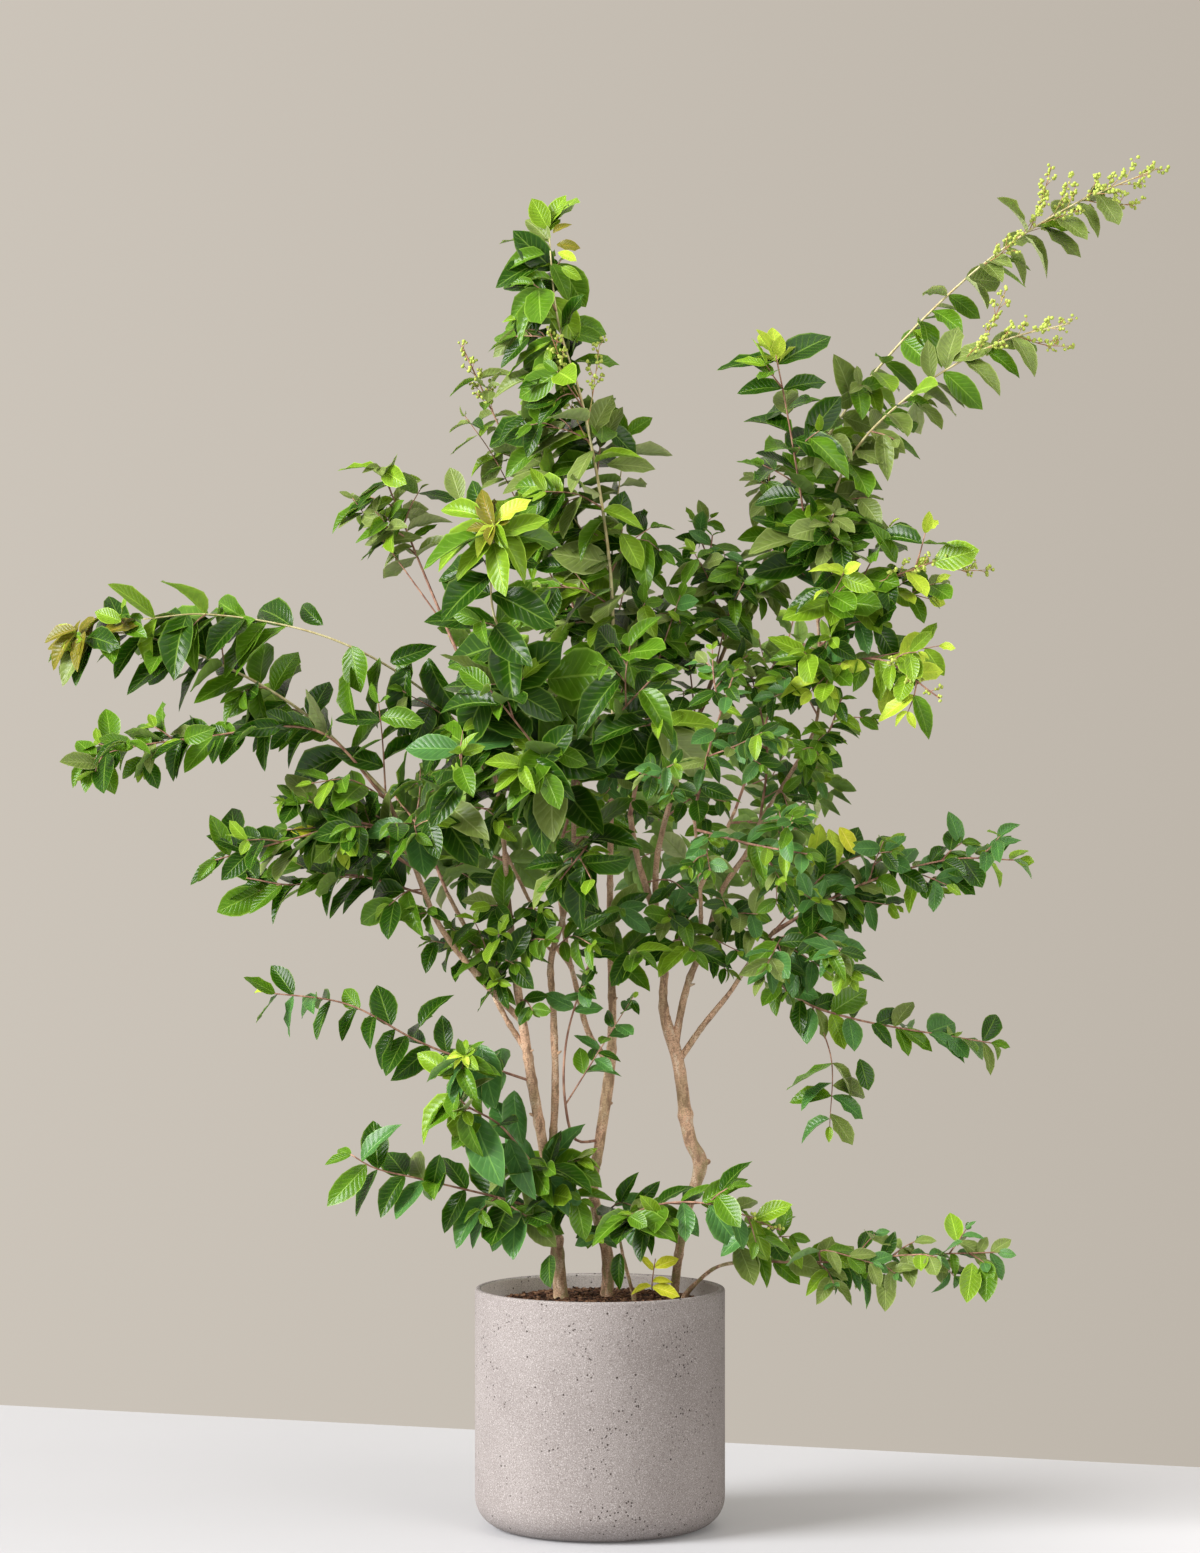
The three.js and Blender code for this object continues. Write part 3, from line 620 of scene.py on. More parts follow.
# Masses of leaves, as in the solids: the first shoot of each leaves its limb and later ones
# leave the first. leaf is the length of a grown leaf, reach that of a side twig at the foot,
# and mood says which greens the leaves have. The rest is as in usualMass unless a mass says more.
usualMass = {
    "young": False,  # whether its shoots have pale young bark
    "tip": None,  # tint of the leaves at the tips, if not the mood's own
    "thick": None,  # radius of the first shoot's foot
    "tuft": 0,  # more leaves at the first shoot's tip
    "rosette": (),  # tints of a whorl of leaves round that tip
    "leafFrom": 0.08,  # where its leaves begin
    "branched": (0, 0.92),  # where it has side twigs
    "fullness": 1,  # more or fewer side twigs
    "step": 0.42,  # between leaf pairs, to the leaf's length
    "gap": (1, 1),  # stretch with no leaves
    "grow": (1.04, 0.84),  # size of leaves at the start and at the end
    "lean": (0, 0, 0),  # added to the leaves' headings
    "hang": 1,  # how far they droop
    "crossed": 1,  # 0 where all pairs lie in one plane
    "second": {},  # what differs on the later shoots
    "secondFrom": 0.25,
    "buds": 0,  # panicles of buds, the first at the tip
    "budSize": 1,
    "sideBuds": 0,  # panicles at the side only
    "budsAt": (0.97, 0.87),
    "budsOpen": 0.8,
    "sideSize": 0.6,
}

masses = {
    "crown_spire": dict(
        on="stem_middle", at=1, reach=95, leaf=78, mood="sunny", young=True, tip="fresh", thick=2.6,
        tuft=6, fullness=1.45, step=0.27, grow=(1.0, 0.92), lean=(-0.45, 0.3, 0), hang=1.9, sideBuds=4,
        budsAt=(0.68, 0.635), budsOpen=0.4, sideSize=0.72,
        shoots=[[(12, -20, 1147), (-20, -50, 1338), (-50, -50, 1440), (-62, -30, 1558)],
                [(-58, 20, 1255), (-86, 15, 1345)],
                [(20, 25, 1225), (32, 15, 1310)]],
    ),
    "spray_spire_left": dict(
        on="stem_middle", at=0.9, reach=56, leaf=50, mood="dusty", leafFrom=0.3, branched=(0.3, 0.92),
        fullness=0.6, hang=0.7, buds=1, budSize=0.8,
        shoots=[[(-49, 75, 1161), (-104, 90, 1284), (-169, 95, 1425)],
                [(-128, 85, 1285), (-165, 85, 1338)]],
    ),
    "spray_upper_left": dict(
        on="bough_left_up", at=1, reach=84, leaf=54, mood="dusty", leafFrom=0.6, branched=(0.6, 0.97),
        fullness=2.0, step=0.36, lean=(-0.15, 0, 0), hang=1.1, secondFrom=0.6,
        shoots=[[(-190, 50, 1088), (-262, 80, 1262)], [(-302, 85, 1238)]],
    ),
    "rosette_front": dict(
        on="stem_inner", at=1, reach=75, leaf=100, mood="deep", young=True, tip="bronze",
        rosette=("fresh", "grown", "fresh"), leafFrom=0.3, branched=(0.3, 0.92), fullness=1.1, step=0.34,
        hang=1.6,
        shoots=[[(-52, -110, 996), (-121, -150, 1078), (-123, -180, 1189)]],
    ),
    "tuft_centre_left": dict(
        on="stem_inner", at=0.93, reach=110, leaf=104, mood="dark", hang=1.4,
        shoots=[[(-82, -150, 941), (-127, -190, 998)]],
    ),
    "tuft_centre_right": dict(
        on="stem_inner", at=0.97, reach=105, leaf=100, mood="dark", hang=1.4,
        shoots=[[(6, -150, 952), (58, -190, 1009)]],
    ),
    "tuft_centre_low": dict(
        on="stem_inner", at=0.84, reach=85, leaf=84, mood="dark", hang=1.2,
        shoots=[[(-12, -110, 823), (-47, -150, 777)]],
    ),
    "arch_left_upper": dict(
        on="bough_left_up", at=0.62, reach=62, leaf=82, mood="deep", young=True, tip="grown",
        leafFrom=0.5, branched=(0.62, 0.92), step=0.34, gap=(0.46, 0.6), grow=(1.1, 0.9),
        lean=(-0.15, 0, -0.2), hang=0.6,
        shoots=[[(-204, -20, 995), (-320, -50, 1062), (-464, -70, 1090), (-540, -80, 1084)]],
    ),
    "arch_left_middle": dict(
        on="bough_left_low", at=1, reach=56, leaf=76, mood="deep", young=True, tip="bronze",
        rosette=("grown", "deep", "bronze"), leafFrom=0.12, branched=(0.25, 0.9), step=0.32,
        grow=(1.05, 1.0), hang=0.6,
        shoots=[[(-346, -30, 968), (-446, -45, 1029), (-560, -55, 1068), (-622, -60, 1062)]],
    ),
    "arch_left_lower": dict(
        on="bough_left_low", at=0.96, reach=52, leaf=60, mood="deep", tip="grown", tuft=5, leafFrom=0.3,
        branched=(0.6, 0.97), fullness=2.2, step=0.3, grow=(0.95, 0.9), lean=(-0.1, 0, 0.1), hang=0.45,
        shoots=[[(-335, -70, 952), (-469, -95, 944), (-570, -110, 928), (-604, -115, 914)]],
    ),
    "spray_left": dict(
        on="bough_left_low", at=0.75, reach=80, leaf=68, mood="deep", fullness=1.3, lean=(-0.45, 0, 0.15),
        hang=0.35,
        shoots=[[(-275, -80, 842), (-370, -100, 822), (-452, -110, 800)], [(-370, -90, 835)]],
    ),
    "spray_left_low": dict(
        on="bough_left_low", at=0.6, reach=64, leaf=62, mood="mixed", lean=(-0.45, 0, 0.2), hang=0.35,
        shoots=[[(-300, -10, 780), (-368, 0, 768), (-425, 10, 776)]],
    ),
    "tuft_left_inner": dict(
        on="bough_left_low", at=0.85, reach=88, leaf=84, mood="dark",
        shoots=[[(-168, -120, 872), (-160, -180, 925)]],
    ),
    "tuft_left_back": dict(
        on="bough_left_mid", at=1, reach=110, leaf=74, mood="dark",
        shoots=[[(-223, 160, 832), (-265, 260, 881)]],
    ),
    "rosette_low_left": dict(
        on="stem_left", at=0.36, reach=46, leaf=62, mood="soft", rosette=("grown", "cool", "cool"),
        fullness=0.5, lean=(-0.2, 0, 0), hang=1.6,
        shoots=[[(-72, -50, 430), (-118, -80, 486), (-166, -110, 522), (-158, -125, 572)]],
    ),
    "spray_low_left": dict(
        on="stem_left", at=0.55, reach=40, leaf=60, mood="cool", tip="bronze", branched=(0, 0.3),
        grow=(0.95, 0.95), hang=1.3,
        shoots=[[(-209, -50, 580), (-300, -60, 628), (-398, -60, 642)]],
    ),
    "spray_foot_left": dict(
        on="stem_left", at=0.22, reach=50, leaf=78, mood="cool", branched=(0, 0.4), step=0.36,
        grow=(0.95, 0.9), hang=0.15,
        shoots=[[(-123, -30, 396), (-215, -50, 420), (-269, -58, 434), (-296, -60, 450)],
                [(-74, -60, 368)]],
    ),
    "sprig_between_stems": dict(
        on="stem_middle", at=0.28, reach=26, leaf=38, mood="cool", leafFrom=0.7, branched=(0.7, 0.92),
        fullness=0.4,
        shoots=[[(-29, 0, 462), (-42, -14, 511), (-40, -22, 583), (-8, -45, 692)], [(40, -30, 636)]],
    ),
    "arch_top_right": dict(
        on="bough_right_up", at=1, reach=58, leaf=66, mood="dusty", young=True, branched=(0, 0.4),
        step=0.34, grow=(1.0, 0.95), lean=(0.1, 0, -0.34), buds=4, budSize=1.5,
        shoots=[[(290, 30, 1331), (432, 0, 1489), (550, -20, 1573), (666, -30, 1624)]],
    ),
    "arch_right": dict(
        on="bough_right_top", at=0.97, reach=56, leaf=66, mood="dusty", young=True, leafFrom=0.2,
        branched=(0.1, 0.6), step=0.34, grow=(1.05, 0.95), lean=(0.16, 0, -0.28), hang=1.1, buds=3,
        budSize=1.1,
        shoots=[[(290, -40, 1263), (366, -60, 1349), (473, -70, 1412), (556, -75, 1434)]],
    ),
    "spire_right": dict(
        on="bough_right_top", at=1, reach=66, leaf=80, mood="deep", tip="lime", tuft=8, fullness=1.5,
        step=0.36, lean=(0.08, 0, 0), hang=0.8,
        shoots=[[(240, -40, 1228), (222, -50, 1333), (208, -55, 1402)]],
    ),
    "tuft_right_upper": dict(
        on="bough_right_top", at=0.92, reach=85, leaf=66, mood="edge", lean=(0, 0, -0.1), hang=0.9,
        buds=1, budSize=0.7, sideBuds=1,
        shoots=[[(325, -70, 1125), (412, -95, 1158)], [(345, -50, 1195)]],
    ),
    "tuft_right_inner": dict(
        on="bough_right_up", at=0.9, reach=95, leaf=42, mood="cool", fullness=0.95,
        shoots=[[(130, 60, 1110), (136, 40, 1190)]],
    ),
    "fringe_right": dict(
        on="bough_right_top", at=0.7, reach=74, leaf=54, mood="young", buds=1, budSize=0.7,
        shoots=[[(331, -80, 1036), (398, -120, 990)], [(400, -95, 1052)]],
    ),
    "tuft_right_centre": dict(
        on="bough_right_mid", at=0.97, reach=90, leaf=36, mood="cool", fullness=0.62,
        shoots=[[(201, 15, 930), (178, 10, 1037)]],
    ),
    "tuft_right_mid": dict(
        on="bough_right_top", at=0.3, reach=70, leaf=42, mood="bright", fullness=0.8,
        shoots=[[(268, -50, 945), (285, -85, 990)]],
    ),
    "tuft_middle": dict(
        on="stem_right", at=1, reach=90, leaf=38, mood="cool", fullness=0.65,
        shoots=[[(48, -20, 906), (75, -40, 985)]],
    ),
    "spray_right": dict(
        on="bough_right_low", at=1, reach=78, leaf=52, mood="cool", leafFrom=0.05, branched=(0.05, 0.92),
        lean=(0, 0, 0.25), hang=0.6,
        shoots=[[(310, -60, 770), (417, -70, 800), (495, -70, 799)]],
    ),
    "tuft_right_low": dict(
        on="bough_right_low", at=0.92, reach=84, leaf=50, mood="cool", hang=0.8,
        shoots=[[(259, -100, 712), (291, -150, 668)]],
    ),
    "spray_drooping": dict(
        on="bough_right_low", at=0.8, reach=38, leaf=54, mood="soft", branched=(0, 0.2), grow=(1, 1.0),
        hang=0.6, second=dict(hang=-1.4, crossed=0, grow=(1.2, 1.1)), secondFrom=0.42,
        shoots=[[(239, -10, 631), (298, -5, 609), (470, 0, 578)], [(277, -10, 560), (275, -12, 478)]],
    ),
    "spray_low_right": dict(
        on="shoot_low_right", at=1, reach=58, leaf=45, mood="worn", branched=(0.25, 0.92), fullness=1.8,
        grow=(1.05, 0.82), lean=(0.1, 0, 0), hang=0.9,
        shoots=[[(261, -60, 322), (354, -80, 332), (470, -90, 337)], [(262, -95, 340), (322, -110, 326)]],
    ),
    "spray_front_low": dict(
        on="shoot_front", at=1, reach=56, leaf=66, mood="soft", hang=0.7, buds=1, budSize=0.4,
        shoots=[[(67, -90, 393), (129, -110, 396), (212, -120, 366)]],
    ),
    "back_left_high": dict(
        on="bough_back_left", at=1, reach=120, leaf=60, mood="dark", fullness=0.85,
        shoots=[[(-125, 300, 930), (-118, 335, 1090)]],
    ),
    "back_left_low": dict(
        on="bough_back_left", at=0.9, reach=110, leaf=60, mood="dark", fullness=0.85,
        shoots=[[(-190, 340, 820), (-262, 390, 850)]],
    ),
    "back_centre_high": dict(
        on="stem_middle_left", at=1, reach=120, leaf=52, mood="mixed", fullness=0.6,
        shoots=[[(-10, 170, 950), (40, 240, 1180)]],
    ),
    "back_centre_low": dict(
        on="bough_back_right", at=0.55, reach=110, leaf=46, mood="dark", fullness=0.6,
        shoots=[[(80, 280, 830), (30, 400, 900)]],
    ),
    "back_right_high": dict(
        on="bough_back_right", at=1, reach=120, leaf=46, mood="mixed", fullness=0.6,
        shoots=[[(215, 300, 980), (250, 330, 1110)]],
    ),
    "back_right_low": dict(
        on="bough_back_right", at=0.92, reach=105, leaf=48, mood="deep", fullness=0.8,
        shoots=[[(240, 330, 840), (290, 400, 820)]],
    ),
    "front_right_high": dict(
        on="bough_front_right", at=1, reach=110, leaf=38, mood="cool", fullness=0.55,
        shoots=[[(125, -240, 930), (150, -300, 1010)]],
    ),
    "front_right_low": dict(
        on="bough_front_right", at=0.9, reach=100, leaf=40, mood="cool", fullness=0.65,
        shoots=[[(175, -220, 820), (235, -280, 810)]],
    ),
}

# Small sprays on the limbs below the crown: the limb, the share along it, where the spray ends,
# the length of its leaves and their mood
innerSprays = [
    ("bough_left_low", 0.62, (-250, -60, 745), 58, "mixed"),
    ("bough_left_low", 0.7, (-300, -70, 815), 62, "deep"),
    ("bough_left_mid", 0.5, (-205, 30, 700), 46, "deep"),
    ("bough_left_mid", 0.3, (-120, -50, 655), 42, "deep"),
    ("bough_left_low", 0.97, (-340, -95, 890), 68, "mixed"),
    ("bough_left_low", 1.0, (-262, -75, 985), 72, "deep"),
    ("bough_left_up", 0.5, (-235, -50, 1000), 70, "deep"), ("stem_left", 0.85, (-60, -80, 705), 42, "deep"),
    ("stem_inner", 0.55, (-10, -95, 700), 44, "deep"), ("stem_middle", 0.55, (45, -70, 690), 58, "bright"),
    ("stem_right", 0.72, (112, -60, 690), 58, "bright"), ("stem_right", 0.86, (115, -50, 750), 40, "cool"),
    ("bough_right_mid", 0.6, (150, -60, 742), 40, "cool"),
    ("bough_right_mid", 0.8, (230, -50, 775), 44, "cool"),
    ("bough_right_low", 0.85, (262, -60, 672), 48, "cool"),
    ("bough_right_top", 0.8, (335, -75, 1080), 58, "cool"),
    ("bough_right_low", 1.0, (345, -60, 815), 52, "cool"), ("stem_left", 0.2, (-22, -75, 398), 60, "mixed"),
    ("stem_left", 0.24, (-64, -90, 440), 72, "mixed"), ("stem_middle", 0.14, (46, -60, 386), 54, "cool"),
    ("stem_middle", 0.12, (-4, -60, 352), 40, "cool"), ("shoot_front", 0.8, (80, -110, 378), 54, "mixed"),
    ("shoot_low_right", 0.85, (180, -90, 372), 58, "mixed"),
    ("shoot_low_right", 0.95, (225, -80, 355), 54, "mixed"),
    ("bough_left_mid", 0.35, (-120, -60, 712), 62, "deep"),
    ("bough_right_mid", 0.45, (188, -60, 735), 44, "cool"),
    ("stem_middle", 0.62, (24, -60, 742), 50, "cool"), ("bough_right_up", 0.3, (150, -40, 868), 40, "deep"),
    ("bough_right_up", 0.75, (172, -20, 1130), 46, "deep"),
    ("bough_right_up", 0.6, (180, -20, 1045), 42, "deep"),
    ("bough_right_top", 0.9, (292, -75, 1168), 58, "cool"),
    ("stem_left", 0.95, (-130, -60, 745), 60, "deep"),
    ("bough_left_low", 0.5, (-215, -60, 735), 56, "deep"),
    ("bough_right_up", 0.6, (95, -20, 1085), 44, "deep"),
    ("bough_right_top", 0.12, (222, -70, 862), 42, "cool"),
    ("bough_right_top", 0.35, (232, -70, 935), 42, "cool"),
    ("bough_right_top", 0.5, (215, -85, 1015), 44, "cool"),
    ("bough_right_top", 0.64, (272, -90, 1062), 54, "cool"),
    ("bough_left_low", 0.85, (-372, -85, 868), 50, "deep"),
    ("bough_left_mid", 0.35, (-150, -50, 728), 44, "deep"),
    ("bough_right_low", 1.0, (350, -60, 745), 44, "cool"), ("stem_left", 0.75, (-80, -50, 620), 36, "deep"),
    ("bough_right_top", 0.58, (240, -100, 1045), 50, "edge"),
    ("bough_right_up", 0.92, (165, -10, 1150), 46, "deep"),
    ("stem_middle", 1.0, (84, 10, 1130), 44, "cool"), ("stem_right", 0.72, (166, -50, 690), 42, "cool"),
    ("stem_right", 0.75, (84, -60, 730), 42, "cool"),
    ("bough_left_low", 0.7, (-348, -60, 818), 54, "mixed"),
    ("stem_left", 0.95, (-66, -60, 738), 42, "deep"),
    ("bough_right_low", 0.95, (300, -60, 735), 46, "cool"),
    ("bough_right_up", 0.5, (100, -10, 1000), 42, "mixed"),
    ("stem_middle", 0.97, (74, 0, 1085), 58, "cool"), ("stem_right", 1.0, (96, -20, 1115), 48, "cool"),
    ("bough_right_up", 0.85, (112, -10, 1168), 46, "dusty"),
]

# A low sprig of yellow leaves beside the right stem, and its leaves: the share along it,
# heading to the right and up, and length
sprig = {
    "past": [(66, 8, soilLevel - 4), (62, -26, 290), (66, -42, 324)],
    "step": 8 * mm,
    "radius": (0.9 * mm, 0.6 * mm),
    "seed": 31,
}
sprigLeaves = [
    (0.5, -0.9, 0.1, 26), (0.5, 1, -0.25, 36), (0.8, -0.8, 0.7, 27), (0.85, 0.8, 0.9, 32),
    (0.6, 1, 0.4, 24),
]

# Leaves that stand alone: where each begins, its heading, length and tint
loneLeaves = [
    ((-61, -45, 435), (0.33, -0.2, 1), 70, "cool"), ((-60, -55, 330), (-0.3, -0.3, -1), 50, "deep"),
    ((24, -35, 330), (0.12, -0.3, -1), 42, "deep"), ((-329, -45, 1078), (-0.42, -0.1, 0.9), 54, "deep"),
    ((-142, -80, 582), (0.2, -0.2, -1), 84, "cool"), ((-102, -60, 526), (0.15, -0.2, -1), 66, "cool"),
    ((-108, -80, 470), (0.42, -0.2, -1), 80, "cool"), ((-64, -60, 424), (0.7, -0.3, -1), 66, "cool"),
    ((-150, -95, 500), (0.32, -0.2, -1), 94, "cool"), ((-175, -100, 545), (-0.7, -0.2, 1), 54, "fresh"),
    ((-172, -100, 524), (-1, -0.1, -0.55), 66, "fresh"), ((-165, -90, 518), (-0.3, -0.3, -1), 58, "fresh"),
    ((-135, -170, 1198), (-0.72, -0.1, 0.7), 62, "fresh"), ((-130, -150, 1200), (-0.45, 0, 1), 60, "deep"),
    ((262, -40, 842), (0.1, -0.2, -1), 52, "lime"), ((272, -45, 836), (0.3, -0.2, -1), 46, "lime"),
    ((285, -45, 838), (0.6, -0.3, -1), 38, "yellow"), ((-328, -85, 830), (-1, -0.2, 0.2), 38, "yellow"),
    ((-306, -85, 818), (0.2, -0.2, -1), 32, "lime"), ((-296, -45, 1054), (0.15, -0.2, -1), 62, "grown"),
    ((-262, -40, 1040), (-0.1, -0.2, -1), 86, "grown"), ((-226, -30, 1014), (0.05, -0.2, -1), 88, "deep"),
    ((-190, -25, 985), (-0.2, -0.2, -1), 84, "deep"), ((-250, -40, 1034), (0.7, -0.3, 0.5), 56, "deep"),
    ((-36, -40, 1390), (1, -0.1, -0.15), 60, "grown"), ((-78, -35, 1374), (-1, -0.2, -0.2), 56, "dusty"),
    ((-622, -65, 1068), (-0.6, -0.2, -0.8), 52, "bronze"),
    ((-610, -70, 1070), (-0.2, -0.2, -1), 54, "bronze"),
    ((-620, -65, 1072), (-1, -0.2, -0.1), 44, "bronze"), ((-228, -40, 1030), (-0.1, -0.3, -1), 86, "deep"),
    ((-205, -20, 1040), (0.3, -0.2, -1), 84, "deep"), ((-296, -50, 1030), (0.05, -0.2, -1), 74, "grown"),
    ((350, -80, 1150), (-0.1, -0.3, 0.8), 60, "grown"), ((392, -90, 1150), (0.8, -0.3, 0.35), 60, "fresh"),
    ((305, -90, 315), (0.2, -0.2, -1), 46, "cool"), ((335, -92, 312), (-0.1, -0.2, -1), 48, "dusty"),
    ((252, -20, 622), (0, -0.2, -1), 46, "cool"), ((-190, -60, 450), (-0.3, -0.2, -1), 56, "deep"),
    ((8, -30, 1270), (1, -0.2, -0.2), 60, "dusty"), ((-62, -10, 1262), (-1, -0.2, -0.2), 62, "dusty"),
    ((-50, -45, 1522), (0.9, -0.3, -0.3), 27, "lime"), ((-46, -48, 1504), (0.8, -0.3, -0.7), 30, "fresh"),
    ((-40, -38, 1428), (1, -0.2, -0.1), 50, "grown"), ((455, -100, 328), (0.3, -0.2, -1), 50, "grown"),
    ((438, -100, 326), (-0.05, -0.2, -1), 50, "fresh"), ((-66, -30, 1512), (-1, -0.2, -0.3), 66, "deep"),
    ((-62, -30, 1462), (-0.8, -0.2, -0.6), 68, "deep"), ((-66, -40, 1520), (-0.9, -0.2, 0.2), 54, "grown"),
    ((-58, -40, 1470), (0.35, -0.3, -1), 66, "fresh"), ((-45, -30, 1440), (1, -0.2, -0.2), 56, "grown"),
    ((-52, -35, 1532), (0.8, -0.3, -0.3), 30, "bronze"), ((-56, -40, 1545), (0.5, -0.3, 0.7), 24, "bronze"),
    ((-165, -60, 1225), (-0.5, -0.1, 0.9), 48, "dusty"), ((-214, -50, 600), (0.1, -0.2, 1), 56, "deep"),
    ((311, -10, 560), (0.4, -0.2, -0.9), 40, "deep"), ((-250, 70, 1200), (-0.2, -0.1, 1), 44, "dusty"),
]

growth = {
    "massSeed": 4100,
    "spraySeed": 77,
    "pathStep": 9 * mm,
    "shootRadius": (1.9 * mm, 0.9 * mm),
    "twigRadius": (1.2 * mm, 0.55 * mm),
    "sideTwigRadius": (0.8 * mm, 0.5 * mm),
    "sprayRadius": (1.3 * mm, 0.6 * mm),
    "secondAt": 0.3,  # where later shoots leave the first
    "twigStep": 0.5,  # between side twigs, to the leaf's length
    "twigRoom": 20 * mm,  # and this besides
    "twigOpen": 0.9,
    "twigBend": 0.14,
    "longTwig": 55 * mm,  # a twig longer than this branches, at the shares in sideTwigs
    "sideTwigs": (0.38, 0.66),
    "open": 1.0,
    "openStray": 0.18,
    "droop": 0.32,
    "pairSize": (0.76, 1.12),
    "leafSize": (0.84, 1.1),
    "freshFrom": 0.8,  # beyond this share of a twig, freshShare of the leaves are fresh
    "freshShare": 0.12,
    "tipLeaves": (1, 2, 2, 3),
    "tuftSize": (0.3, 0.55),
    "level": 0.32,  # how far a leaf may lie level instead of facing the light
    "stray": 0.16,
    "roll": 0.34,
    "goldenAngle": 2.4,
    "tries": 4,
    "cell": 0.03,  # the grid in which leaves look for their neighbours
    "limbRoom": 7 * mm,
    "light": Vector((-0.35, -0.80, 0.48)),
    "heart": Vector((0.03, 0.04, 0)),
    "spread": 0.38,  # how far a leaf turns square to the light
    "tipTints": {"young": "lime", "edge": "lime", "dusty": "dusty", "worn": "cool"},
}


# Centripetal curve through the given places, evenly spaced
def smoothPath(places, step):
    ends = [places[0] * 2 - places[1], *places, places[-1] * 2 - places[-2]]
    fine = [places[0]]
    for a, b, c, d in zip(ends, ends[1:], ends[2:], ends[3:]):
        spans = [max((q - p).length ** 0.5, 1e-6) for p, q in ((a, b), (b, c), (c, d))]
        out = (b - a) / spans[0] - (c - a) / (spans[0] + spans[1]) + (c - b) / spans[1]
        into = (c - b) / spans[1] - (d - b) / (spans[1] + spans[2]) + (d - c) / spans[2]
        out, into = out * spans[1], into * spans[1]
        for i in range(1, 17):
            t = i / 16
            fine.append(b * (2 * t**3 - 3 * t**2 + 1) + out * (t**3 - 2 * t**2 + t)
                        + c * (3 * t**2 - 2 * t**3) + into * (t**3 - t**2))
    points = np.array([point[:] for point in fine])
    along = np.concatenate([[0], np.cumsum(np.linalg.norm(np.diff(points, axis=0), axis=1))])
    count = max(2, round(along[-1] / step))
    even = np.linspace(0, along[-1], count + 1)
    rows = np.stack([np.interp(even, along, points[:, axis]) for axis in range(3)], axis=1)
    return [Vector(row) for row in rows]


def pathLength(path):
    return sum((b - a).length for a, b in zip(path, path[1:]))


def pointOn(path, share):
    spot = share * (len(path) - 1)
    row = min(len(path) - 2, int(spot))
    return path[row].lerp(path[row + 1], spot - row)


def headingOn(path, share):
    row = min(len(path) - 2, int(share * (len(path) - 1)))
    return (path[row + 1] - path[row]).normalized()


# Limbs with their bark

bark = {
    "step": 3.2 * mm,
    "roundness": 7,
    "flareFrom": 6 * mm,
    "flareReach": 16 * mm,
    "lump": 0.5 * mm,
    "flake": 0.4 * mm,
    "collar": 1.1 * mm,
    "collarReach": 9 * mm,
    "knotStep": 0.075,
    "knot": 0.16,
    "stubProfile": ((0, 1.3), (0.45, 1.1), (0.75, 0.85), (0.92, 0.6), (1, 0.32)),
    "tan": (0.47, 0.315, 0.20),
    "pink": (0.68, 0.435, 0.29),
    "pale": (0.74, 0.585, 0.43),
    "brown": (0.235, 0.14, 0.085),
    "lichen": (0.30, 0.29, 0.12),
    "seed": 23,
}

# Side shoots cut or broken short: the limb, the share along it, heading, length and radius
stubs = [
    ("stem_left", 0.13, (0.3, -0.6, 1), 16, 5.0), ("stem_left", 0.2, (-0.9, -0.5, 0.6), 5, 2.6),
    ("stem_left", 0.46, (-1, -0.3, 0.5), 6, 2.0), ("stem_left", 0.62, (0.8, -0.6, 0.5), 4, 1.7),
    ("stem_middle", 0.17, (-1, -0.4, 0.7), 6, 2.6), ("stem_middle", 0.34, (1, -0.3, 0.4), 4, 2.2),
    ("stem_middle", 0.52, (0.7, -0.7, 0.4), 4, 1.8), ("stem_right", 0.28, (1, -0.25, 0.2), 7, 4.4),
    ("stem_right", 0.47, (-0.9, -0.5, 0.5), 4, 2.6), ("stem_right", 0.57, (0.3, -0.7, 0.8), 7, 2.6),
    ("stem_right", 0.84, (-0.2, -0.6, 1), 12, 2.4), ("stem_inner", 0.3, (0.9, -0.5, 0.6), 5, 1.7),
    ("stem_inner", 0.55, (-0.8, -0.6, 0.6), 4, 1.6), ("bough_right_mid", 0.25, (0.9, -0.4, 0.3), 5, 1.7),
]

limbPaths = {}


def limbRun(name, plan, dice):
    places = [place(*spot) for spot in plan["past"]]
    if "on" in plan:
        places.insert(0, pointOn(limbPaths[plan["on"]], plan["at"]))
    else:
        places.insert(0, places[0] - up * 6 * mm)
    path = smoothPath(places, bark["step"])
    limbPaths[name] = path
    shares, radii = zip(*plan["radii"])
    length = pathLength(path)
    knots = [dice.uniform(0.02, length) for _ in range(int(length / bark["knotStep"]) + 1)]
    run = []
    for i, point in enumerate(path):
        share = i / (len(path) - 1)
        radius = float(np.interp(share, shares, radii)) * mm
        swells = [math.exp(-((share * length - knot) / (0.8 * radius)) ** 2) for knot in knots]
        radius *= 1 + sum(bark["knot"] * swell for swell in swells)
        beyond = max(0, share * length - bark["flareFrom"])
        radius += plan.get("flare", 0) * mm * math.exp(-beyond / bark["flareReach"])
        if "on" in plan and plan["at"] < 1:
            radius += bark["collar"] * math.exp(-share * length / bark["collarReach"])
        run.append((point, radius))
    return run


def stubRun(limb, share, heading, length, radius):
    root, way = pointOn(limbPaths[limb], share), Vector(heading).normalized()
    reach = (length + 6) * mm
    radius *= mm
    return [(root + way * reach * step, radius * swell) for step, swell in bark["stubProfile"]]


